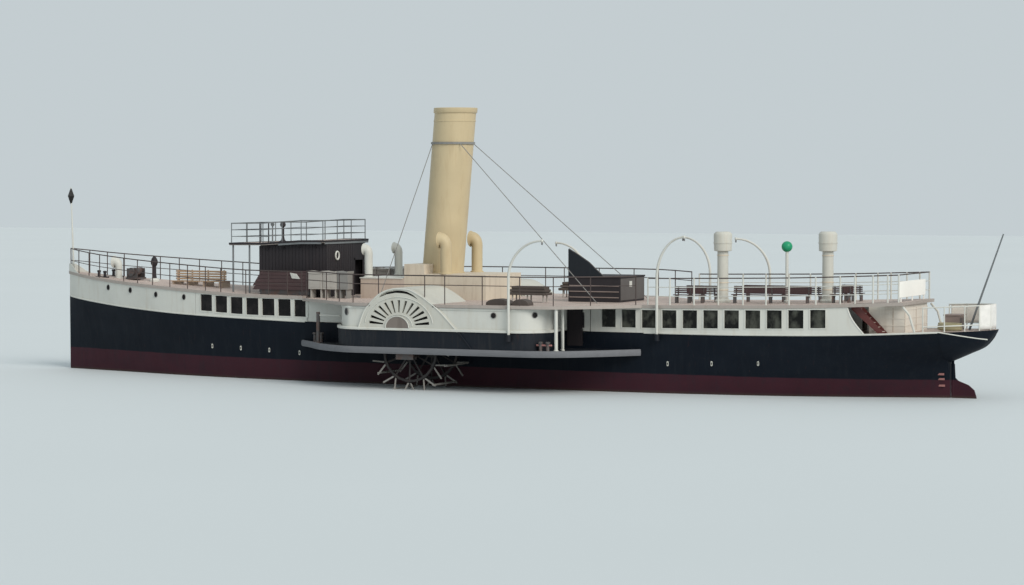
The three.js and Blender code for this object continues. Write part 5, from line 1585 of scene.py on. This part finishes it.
@dataclass
class Bridge:
    """Boards on the bridge house, the hogged platform over it on its legs, and the instruments there."""

    x: Pair = (6.95, 11.1)
    half: float = 2.2
    platform_half: float = 2.5
    thick: float = 0.12
    legs: tuple[float, ...] = (12.74, 11.7)
    hog: Plan = ((6.9, 7.57), (7.2, 7.58), (8.4, 7.57), (10.8, 7.41), (12.9, 7.39))
    board_pitch: float = 0.21
    board_width: float = 0.18
    board_thick: float = 0.018
    door: tuple[float, float, float, float] = (-2.0, -0.9, 4.52, 6.55)
    binnacle_x: float = 10.93
    telegraph_x: float = 11.25
    frame_x: Pair = (11.15, 10.6)
    frame_y: float = 2.15

    def height(self, x: Array | float) -> Array | float:
        """Top of the platform at each x."""
        return np.interp(x, *np.array(self.hog).T)

    def build(self) -> None:
        """Builds the boards, the platform and what stands on it."""
        self.boards()
        self.platform()
        self.edges()
        self.instruments()

    def boards(self) -> None:
        """Narrow upright boards on the sides, a door frame, windows in front and a ring aft."""
        shape = Shape("bridge_house_boards")
        aft, fore = self.x
        x = np.arange(aft + 0.04, fore - 0.1, self.board_pitch)
        for sign in (1, -1):
            across = (sign * self.half, sign * (self.half + self.board_thick))
            shape.blocks((x, x + self.board_width), across, (4.72, self.height(x) - 0.16))
        left, right, sill, head = self.door
        y = np.arange(-self.half + 0.04, self.half - 0.1, self.board_pitch)
        y = y[(y < left) | (y > right - 0.1)]
        shape.blocks((aft - self.board_thick, aft), (y, y + self.board_width), (4.56, 7.38))
        shape.blocks((aft - 0.03, aft + 0.14), ([left, right - 0.1], [left + 0.1, right]), (sill, head))
        shape.blocks((aft - 0.03, aft + 0.14), (left, right), (head - 0.1, head))
        for pane in (-1.5, -0.4, 0.7):
            shape.blocks((fore - 0.08, fore - 0.05), (pane - 0.01, pane + 0.81), (5.74, 6.61), tint=1)
            low, high = pane - 0.06, pane + 0.86
            rim = spread(fore + 0.01, [low, high, high, low, low], [5.69, 5.69, 6.66, 6.66, 5.69])
            shape.bars(rim[:-1], rim[1:], 0.035, tint=2)
        ring = spread(aft - 0.06, *oval((1.1, 6.74), (0.19, 0.22), 32).T)
        shape.tube(ring, 0.05, 12, tint=2, loop=True)
        shape.build("dark window white", slot="dark_paint")

    def platform(self) -> None:
        """The hogged slab that people stand on and its four legs."""
        shape = Shape("bridge_platform")
        x = np.linspace(self.hog[0][0], self.hog[-1][0], 30)
        z = self.height(x)
        outline = np.concatenate([spread(x, z), spread(x, z - self.thick)[::-1]])
        shape.prism(outline, -self.platform_half, self.platform_half, axis=1)
        for place in self.legs:
            for y in (-2.35, 2.35):
                head = self.height(place) - self.thick / 2
                shape.bars([place, y, deck_top(place)], [place, y, head], 0.05, 12, tint=1)
        shape.build("planks rail_grey", "flying_bridge", "white_paint", bevel=0.008)

    def edges(self) -> None:
        """A dark rounded edge round the platform, with a pale strip under its after part and struts."""
        shape = Shape("platform_edges")
        aft, fore = self.hog[0][0], self.hog[-1][0]
        x = np.linspace(aft, fore, 30)
        z = self.height(x)
        low, middle, high, proud = -0.19, -0.08, 0.025, 0.035
        for under, over, out, tint, part in (
            (middle, high, proud, 0, x >= aft), (low, middle, 0.02, 1, (x >= 7.1) & (x < 10.0)),
        ):
            band = np.concatenate([spread(x, z + over)[part], spread(x, z + under)[part][::-1]])
            side = self.platform_half + out
            for sign in (1, -1):
                shape.prism(band, sign * (side - 0.05), sign * side, axis=1, tint=tint)
        for end, way in ((aft, -1), (fore, 1)):
            level = self.height(end)
            across = (-self.platform_half, self.platform_half)
            shape.blocks((end, end + way * proud), across, (level + middle, level + high))
        level = self.height(aft)
        shape.blocks((aft - 0.02, aft), across, (level + low, level + middle), tint=1)
        for place in (7.6, 8.6, 9.6, 10.6):
            under = self.height(place) - 0.12
            for sign in (1, -1):
                start = [place, sign * (self.half + 0.02), under - 0.3]
                shape.bars(start, [place, sign * (self.platform_half - 0.05), under], 0.025)
        shape.build("dark rail_grey", slot="dark_paint", bevel=0.01)

    def instruments(self) -> None:
        """The binnacle, the two telegraphs and a frame of bars beside them."""
        shape = Shape("bridge_instruments")
        level = self.height(self.binnacle_x)
        binnacle = [
            (0, 0), (0.2, 0), (0.2, 0.04), (0.1, 0.14), (0.075, 0.3), (0.07, 0.84), (0.14, 0.88),
            (0.16, 0.98), (0.13, 1.08), (0.06, 1.15), (0, 1.16),
        ]
        shape.turned(binnacle, (self.binnacle_x, 0, level), 24)
        stand = [(0, 0), (0.14, 0), (0.12, 0.05), (0.04, 0.1), (0.035, 0.86), (0.05, 0.9), (0, 0.92)]
        dial = [(0, -0.05), (0.1, -0.05), (0.11, 0), (0.1, 0.05), (0, 0.05)]
        for y in (0.6, -0.6):
            shape.turned(stand, (self.telegraph_x, y, self.height(self.telegraph_x)), 16, tint=1)
            shape.turned(dial, (self.telegraph_x, y, level + 1.0), 20, axis=1, tint=1)
        for x in self.frame_x:
            shape.bars([x, self.frame_y, self.height(x)], [x, self.frame_y, level + 1.15], 0.035, 8)
        for up in (1.13, 0.76, 0.36):
            start, stop = ([x, self.frame_y, level + up] for x in self.frame_x)
            shape.bars(start, stop, 0.028, 8)
        shape.build("dark rail_grey", slot="dark_paint")


@dataclass
class Rails:
    """Every open rail, of round posts and bars."""

    bow: tuple[float, ...] = (
        7.7, 8.61, 9.82, 11.3, 12.98, 14.04, 15.3, 16.58, 17.89, 19.07, 20.17, 22.21, 23.15, 24.1, 24.96,
    )
    aft: tuple[float, ...] = (
        -12.5, -13.7, -15.0, -16.3, -17.6, -18.8, -19.99, -21.35, -22.58, -23.31, -24.2, -24.92, -25.45,
    )
    middle: Plan = (
        (7.3, 3.78), (5.3, 5.2), (3.7, 6.7), (2.5, 7.4), (0.96, 7.48), (-1.72, 7.48), (-2.87, 7.48),
        (-5, 7.48), (-7.1, 7.48), (-8.75, 7), (-10.25, 5.75), (-11.95, 3.88),
    )
    bridge: tuple[float, ...] = (7.05, 8.4, 9.6, 10.8, 11.8, 12.8)
    stern: Plan = ((-26.6, 2.3), (-27.6, 2.0), (-28.5, 1.55), (-29.1, 1.05), (-29.5, 0.45))

    @staticmethod
    def run(
        shape: Shape, points: Array, levels: Sequence[float], post: float = 0.028,
        bar: float = 0.02, closed: bool = False, top_tint: int = 0,
    ) -> None:
        """Posts at points (n, 3), with level bars between them and a stouter bar on top.

        Args:
            shape: the piece they go into.
            points: the posts' feet, in order.
            levels: heights of the bars, the top one first, which lies just below the posts' heads.
            post: radius of a post.
            bar: radius of the lower bars.
            closed: joins the last post to the first.
            top_tint: material of the top bar.
        """
        up = np.eye(3)[2]
        shape.bars(points, points + up * (levels[0] + 0.03), post, 8)
        before, after = (points, np.roll(points, -1, 0)) if closed else (points[:-1], points[1:])
        sizes = [(0.03, top_tint)] + [(bar, 0)] * (len(levels) - 1)
        for level, (size, tint) in zip(levels, sizes):
            shape.bars(before + up * level, after + up * level, size, 8, tint)

    @staticmethod
    def round_end(port: Array) -> Array:
        """The port side's posts followed by the starboard side's, walked back."""
        return np.concatenate([port, (port * MIRROR)[::-1]])

    def along_deck(
        self, name: str, stations: Sequence[float], levels: Sequence[float], paints: str, slot: str,
        post: float,
    ) -> None:
        """The rail of one length of deck, set in from both edges and joined across the far end.

        Args:
            name: the solid it stands for.
            stations: x of each pair of posts.
            levels: heights of the bars, the top one first, which lies just below the posts' heads.
            paints: of the posts and bars, and of the top bar if that differs.
            slot: the record's material slot.
            post: radius of a post.
        """
        x = np.array(stations)
        top, half = deck_edge(x).T
        shape = Shape(f"{name}_bars")
        points = self.round_end(spread(x, half - 0.1, top - 0.01))
        self.run(shape, points, levels, post, top_tint=len(paints.split()) - 1)
        shape.build(paints, name, slot)

    def build(self) -> None:
        """Builds the rails of each deck."""
        self.along_deck("bow_rail", self.bow, (1.32, 0.64), "brown_rail", "dark_paint", 0.028)
        levels = (1.37, 0.92, 0.46)
        self.along_deck("aft_rail", self.aft, levels, "white brown_rail", "white_paint", 0.045)
        for side, sign in SIDES:
            shape = Shape(f"mid_rail_{side}_bars")
            self.run(shape, spread(*np.array(self.middle).T, DECK_MID - 0.01), (1.47, 1.0))
            shape.beside(sign).build("brown_rail", f"mid_rail_{side}", "dark_paint")
        self.round_bridge()
        plan = np.array(self.stern)
        port = spread(*plan.T, [main_deck(x) for x in plan[:, 0]])
        shape = Shape("stern_rail_bars")
        self.run(shape, self.round_end(port), (1.24, 0.3), post=0.035, bar=0.03)
        shape.build("white", "stern_rail", "white_paint")

    def round_bridge(self) -> None:
        """The closed rail round the flying bridge, with two posts across each end."""
        x = np.array(self.bridge)
        z = Bridge().height(x)
        port = spread(x, 2.42, z)
        fore, aft = (spread(x[end], 0.8 * way * BOTH, z[end]) for end, way in ((-1, 1), (0, -1)))
        points = np.concatenate([port, fore, (port * MIRROR)[::-1], aft])
        shape = Shape("flying_bridge_rail_bars")
        self.run(shape, points, (1.09, 0.73, 0.36), closed=True)
        # White rail given the grey finish as painted shade.
        shape.build("rail_grey", "flying_bridge_rail", "white_paint")


@dataclass
class Davits:
    """Bent posts that swing on the ship's side."""

    radius: float = 0.07
    foot: float = 2.9
    bend: float = 5.9
    # Each davit: name, x, y, reach, top, and the way its head points in degrees from the bow
    rows: tuple[tuple[str, float, float, float, float, float], ...] = (
        ("davit_fore_port", -6.58, 7.7, 1.95, 7.81, 175.0),
        ("davit_mid_port", -13.1, 3.87, 1.55, 7.98, 175.0),
        ("davit_fore_starboard", -3.95, -7.7, 1.75, 7.34, -5.0),
        ("davit_mid_starboard", -13.0, -3.87, 1.8, 7.8, -14.0),
        ("davit_aft_starboard", -16.4, -3.8, 1.8, 7.77, 25.0),
    )

    def arm(self, name: str, x: float, y: float, reach: float, top: float, turn: float) -> None:
        """One davit: a straight post, then a quarter of an ellipse out to its head.

        Args:
            name: the solid and the body it stands for.
            x: where the post stands.
            y: the same, across the ship.
            reach: from the post to the head.
            top: height of the head.
            turn: the way the head points, in degrees from the bow.
        """
        way = math.radians(turn)
        a = np.linspace(0, np.pi / 2, 18)
        out = reach * (1 - np.cos(a))
        rise = (top - self.bend) * np.sin(a)
        curve = spread(x + math.cos(way) * out, y + math.sin(way) * out, self.bend + rise)
        post = spread(x, y, np.linspace(self.foot, self.bend, 6)[:-1])
        shape = Shape(f"{name}_post")
        path = np.concatenate([post, curve])
        taper = np.interp(np.arange(len(path)), [0, 8, len(path) - 1], [1, 1, 0.72]) * self.radius
        shape.tube(path, taper, 14)
        head = curve[-1]
        shape.turned([(0, -0.09), (0.05, -0.07), (0.075, 0), (0.05, 0.07), (0, 0.09)], head, 14)
        link = head + spread(0.0, *oval((0, -0.12), (0.06, 0.07), 14).T)
        shape.tube(link, 0.018, 6, tint=1, loop=True)
        shape.build("white iron", name, "white_paint", body=name)

    def build(self) -> None:
        """Builds every davit, and the rings on the hull that hold the ones beside it."""
        for row in self.rows:
            self.arm(*row)
        shape = Shape("davit_rings")
        for _, x, y, *_ in self.rows:
            if abs(y) < 5:
                shape.turned(DAVIT_RING, (x, y, 0), 16)
        shape.build("navy", slot="hull_paint")


@dataclass
class Hood:
    """The companion hood abaft the casing: a low slatted box with a thin upright wing."""

    half: float = 1.65
    x: Pair = (-10.13, -7.19)
    top: float = 5.82
    slope: Plan = ((-7.19, 7.26), (-7.76, 6.94), (-8.37, 6.55), (-8.8, 6.16), (-9.2, 5.82))

    def build(self) -> None:
        """Builds the low slatted part with its plain after end, and the tall thin wing on its port side."""
        shape = Shape("companion_box")
        aft, fore = self.x
        half, top = self.half, self.top
        shape.blocks((aft, fore), (-half, half), (4.51, top))
        y, z = np.repeat(BOTH, 3), 4.72 + np.tile(np.arange(3) * 0.3, 2)
        shape.blocks((aft + 0.06, fore - 0.06), (y * half, y * (half + 0.03)), (z, z + 0.055), tint=1)
        shape.blocks((aft - 0.04, fore + 0.04), (-half - 0.04, half + 0.04), (top - 0.06, top + 0.03))
        shape.blocks((aft - 0.02, aft), (-half + 0.06, half - 0.06), (4.6, top - 0.08), tint=2)
        shape.blocks((aft - 0.035, aft - 0.02), (0.1, 0.45), (5.28, 5.58), tint=3)
        line = np.array(self.slope)
        start, stop = line[0, 0], line[-1, 0]
        wing = np.concatenate([line, [[stop, top - 0.05], [start, top - 0.05]]])
        shape.prism(wing, 1.5, 1.66, axis=1, tint=4)
        k = np.arange(4)
        y = 1.0 + k * 0.12
        shape.blocks((start - 0.02, start + 0.02), (y, y + 0.06), (top, 6.3 + k * 0.2), tint=4)
        shape.tube(spread(line[:, 0] - 0.01, 1.6, line[:, 1] + 0.01), 0.03, tint=2)
        shape.build("dark slats hood_grey white blue_black", "companion_hood", "dark_paint", bevel=0.01)


@dataclass
class Stern:
    """The after house's panels, the board on the end rail, and the canvas and gear at the stern rail."""

    house: tuple[float, float, float] = (-25.55, -23.7, 1.9)
    # Each dodger: name, finish, foot and head above the deck, and the posts that it is laced to
    dodger_runs: tuple[tuple[str, str, float, float, Plan], ...] = (
        # The side sheet's canvas is lightened as painted light over its shade.
        ("side", "shade_lifted_canvas", 0.3, 1.24, ((-26.7, -2.28), (-27.6, -2.0), (-28.5, -1.55))),
        ("end", "white_cloth", 0.06, 1.27,
         ((-28.5, -1.55), (-29.1, -1.09), (-29.54, -0.45), (-29.54, 0.45), (-29.1, 1.09))),
    )
    cloth_thick: float = 0.0015
    coil_at: Pair = (-27.5, 0.62)
    coil_turns: int = 7
    rope_radius: float = 0.045

    def build(self) -> None:
        """Builds each of them."""
        self.panels()
        self.board()
        for run in self.dodger_runs:
            self.dodger(*run)
        self.steering_box()
        self.coil()
        self.treads()

    def panels(self) -> None:
        """Dark upright seams and pale rails that divide the house into panels, and its struts."""
        shape = Shape("after_house_panels")
        aft, fore, half = self.house
        y = np.array([1.88, 0.0, -1.88])
        shape.blocks((aft - 0.015, aft), (y - 0.018, y + 0.018), (3.34, 4.5), tint=1)
        seam = -24.95
        shape.blocks((seam - 0.018, seam + 0.018), (BOTH * half, BOTH * (half + 0.015)), (3.34, 4.52), tint=1)
        z = np.array([3.62, 3.98, 4.4])
        shape.blocks((aft - 0.02, aft - 0.002), (-half, half), (z, z + 0.035))
        for sign in (1, -1):
            shape.blocks((aft, fore), (sign * half, sign * (half + 0.02)), (z, z + 0.035))
            strut = spread([DECK_END + 0.1, DECK_END - 0.25, -26.2], [2.4, 2.42, 2.4], [4.6, 4.2, 3.36])
            shape.tube(strut * [1, sign, 1], 0.06, tint=2)
        shape.build("stern_house frame white", slot="cream_paint")

    def board(self) -> None:
        """A wide bare white board fixed to the end rail of the promenade deck."""
        shape = Shape("end_rail_board")
        y = np.linspace(-1.7, 2.62, 12)
        sag = 0.02 * np.sin(np.linspace(0, np.pi * 3, 12))
        face = spread(-25.52 - sag[:, None], y[:, None], [5.06, 5.86])
        shape.pierced(face, face + [0.035, 0, 0], np.ones((11, 1), bool))
        post = np.array([-1.55, 0.4, 2.3])
        shape.blocks((-25.5, -25.44), (post - 0.04, post + 0.04), (4.84, 5.83))
        shape.build("board", slot="white_paint", bevel=0.01)

    def dodger(self, name: str, canvas: str, low: float, high: float, posts: Plan) -> None:
        """Canvas laced flat along the stern rail.

        It is one sheet: straight lines between the rail's posts, from foot to head, pushed in and out
        by a sine of the way along so that it lies slack between its lacings.

        Args:
            name: the sheet's own name.
            canvas: its finish.
            low: its foot above the deck.
            high: its head above the deck.
            posts: the plan points that it is laced to.
        """
        line = np.array(posts)
        way = walked(line)
        at = np.linspace(0, way[-1], 24)
        x, y = (np.interp(at, way, line[:, k]) for k in (0, 1))
        deck = np.array([main_deck(place) for place in x])
        slack = 0.012 * np.sin(at * 9)[:, None] * np.sin(np.linspace(0, np.pi, 7))
        shape = Shape(f"stern_dodger_{name}")
        shape.grid(spread(x[:, None] - slack, y[:, None], deck[:, None] + np.linspace(low, high, 7)))
        cloth = shape.build(canvas, crease=80)
        thickness = cloth.modifiers.new("cloth", "SOLIDIFY")
        thickness.thickness = self.cloth_thick
        thickness.offset = 0

    def steering_box(self) -> None:
        """The steering gear's slatted box with its lid and feet."""
        shape = Shape("steering_box")
        z = main_deck(-27.2)
        shape.blocks((-27.7, -26.9), (-1.35, -0.35), (z + 0.1, z + 0.72))
        shape.blocks((-27.74, -26.86), (-1.39, -0.31), (z + 0.72, z + 0.79))
        x, y = np.tile([-27.66, -26.98], 2), np.repeat([-1.3, -0.42], 2)
        shape.blocks((x, x + 0.06), (y, y + 0.06), (z - 0.02, z + 0.12), tint=1)
        slat = -1.3 + np.arange(4) * 0.25
        shape.blocks((-27.71, -27.695), (slat, slat + 0.18), (z + 0.16, z + 0.64), tint=1)
        shape.build("slats iron", slot="brown_wood", bevel=0.01)

    def coil(self) -> None:
        """A coil of rope on the stern deck, whose turns lie outwards and inwards by turns as it rises."""
        shape = Shape("rope_coil")
        x, y = self.coil_at
        t = np.linspace(0, 1, 260)
        angle = 2 * np.pi * self.coil_turns * t
        radius = 0.62 - 0.1 * np.abs(((t * self.coil_turns) % 2) - 1) - 0.03 * t
        rise = main_deck(x) + 0.07 + 0.3 * t
        path = spread(x + radius * np.cos(angle), y + radius * np.sin(angle) * 0.8, rise)
        shape.tube(path, self.rope_radius)
        made = shape.build("rope", crease=180)

    def treads(self) -> None:
        """Pale treads on the stair up to the promenade deck."""
        shape = Shape("stair_treads")
        x, z = np.arange(6) * 0.24, np.arange(6) * 0.22
        shape.blocks((x - 24.59, x - 24.31), (2.03, 2.52), (z + 3.35, z + 3.362))
        shape.blocks((x - 24.56, x - 24.36), (2.54, 2.57), (z + 3.22, z + 3.31))
        shape.build("stern_house", slot="brown_wood")


@dataclass
class Stage:
    """Pale floor at the water, soft studio light and the camera at the photograph's place."""

    camera_at: tuple[float, float, float] = (-66.956, 135.532, 10.853)
    camera_yaw: float = 25.209
    camera_pitch: float = -2.296
    sensor: float = 36.0
    focal: float = 2800 / 1024 * 36
    floor_half: float = 400.0
    sky: float = 0.82
    sun: float = 2.2
    sun_angle: float = 32.0

    def build(self) -> None:
        """Makes the floor, the lights and the camera."""
        self.floor()
        self.lights()
        self.camera()

    def floor(self) -> None:
        """A wide pale floor whose colour hardly varies."""
        mesh = bpy.data.meshes.new("floor")
        square = np.array([[-1, -1, 0], [1, -1, 0], [1, 1, 0], [-1, 1, 0]]) * self.floor_half * SCALE
        mesh.from_pydata(square.tolist(), [], [(0, 1, 2, 3)])
        graph = Graph("studio floor")
        tone = graph.noise(0.05, 2.0)
        graph.set({"Base Color": graph.shade(srgb(0xCED4D6), tone * 0.06 + 0.97), "Roughness": 0.7})
        mesh.materials.append(graph.material)
        thing = bpy.data.objects.new("floor", mesh)
        bpy.context.scene.collection.objects.link(thing)

    def lights(self) -> None:
        """A pale sky all round and a broad key light from abaft."""
        world = bpy.data.worlds.new("studio")
        world.use_nodes = True
        background = world.node_tree.nodes["Background"]
        background.inputs[0].default_value = srgb(0xD6E0E4)
        background.inputs[1].default_value = self.sky
        bpy.context.scene.world = world
        key = bpy.data.lights.new("key", "SUN")
        key.energy = self.sun
        key.angle = math.radians(self.sun_angle)
        key.color = (1.0, 0.96, 0.9)
        lamp = bpy.data.objects.new("key", key)
        towards = Vector((0.8, -0.45, -0.6)).normalized()
        lamp.rotation_euler = towards.to_track_quat("-Z", "Y").to_euler()
        bpy.context.scene.collection.objects.link(lamp)

    def camera(self) -> None:
        """The camera looks along its yaw and pitch, in ship metres brought to the model."""
        data = bpy.data.cameras.new("camera")
        data.sensor_width = self.sensor
        data.lens = self.focal
        data.clip_end = 1000
        thing = bpy.data.objects.new("camera", data)
        yaw, pitch = math.radians(self.camera_yaw), math.radians(self.camera_pitch)
        ahead = Vector((math.sin(yaw) * math.cos(pitch), -math.cos(yaw) * math.cos(pitch), math.sin(pitch)))
        turn = ahead.to_track_quat("-Z", "Y").to_matrix().to_4x4()
        thing.matrix_world = Matrix.Translation(Vector(self.camera_at) * SCALE) @ turn
        bpy.context.scene.collection.objects.link(thing)
        bpy.context.scene.camera = thing


# Finish of each solid of the frame by the start of its name, the first that fits; the rest are white
NODE_FINISHES = {
    "engine": "iron", "boiler": "iron", "winch": "iron", "paddle_shaft": "iron", "paddle_wheel": "wheel",
    "paddle_box": "cream", "sponson_house": "white", "sponson": "navy", "promenade_deck": "planks",
    "funnel_casing": "tan", "funnel_stays": "grey", "funnel": "buff", "fore_casing": "house",
    "buff_ventilator": "buff", "tall_ventilator": "cream", "ball_ventilator": "green", "bridge_house": "dark",
    "flying_bridge": "rail_grey", "bow_rail": "brown_rail", "mid_rail": "brown_rail", "rudder": "hull",
    "after_house": "stern_house", "aft_stair": "red_wood", "flagstaff": "rail_grey", "companion_hood": "dark",
    "recess_door": "dark",
}


def dress_nodes(nodes: dict[str, bpy.types.Object]) -> None:
    """Gives every solid of the frame its paint."""
    for name, thing in nodes.items():
        paint = next((paint for start, paint in NODE_FINISHES.items() if name.startswith(start)), "white")
        thing.data.materials.clear()
        thing.data.materials.append(finish(paint))


def main() -> None:
    """Loads the frame, builds every part of the ship in order and sets the stage."""
    logging.basicConfig(level=logging.INFO, format="%(name)s %(message)s")
    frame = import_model()
    bpy.context.scene.view_settings.view_transform = "Standard"
    dress_nodes(frame["nodes"])
    for part in (
        Hull, Walls, Decks, Sponsons, PaddleBoxes, Funnel, Ventilators, Bridge, Rails, Davits, Hood, Stern,
        Stage,
    ):
        part().build()


if __name__ == "__main__":
    main()
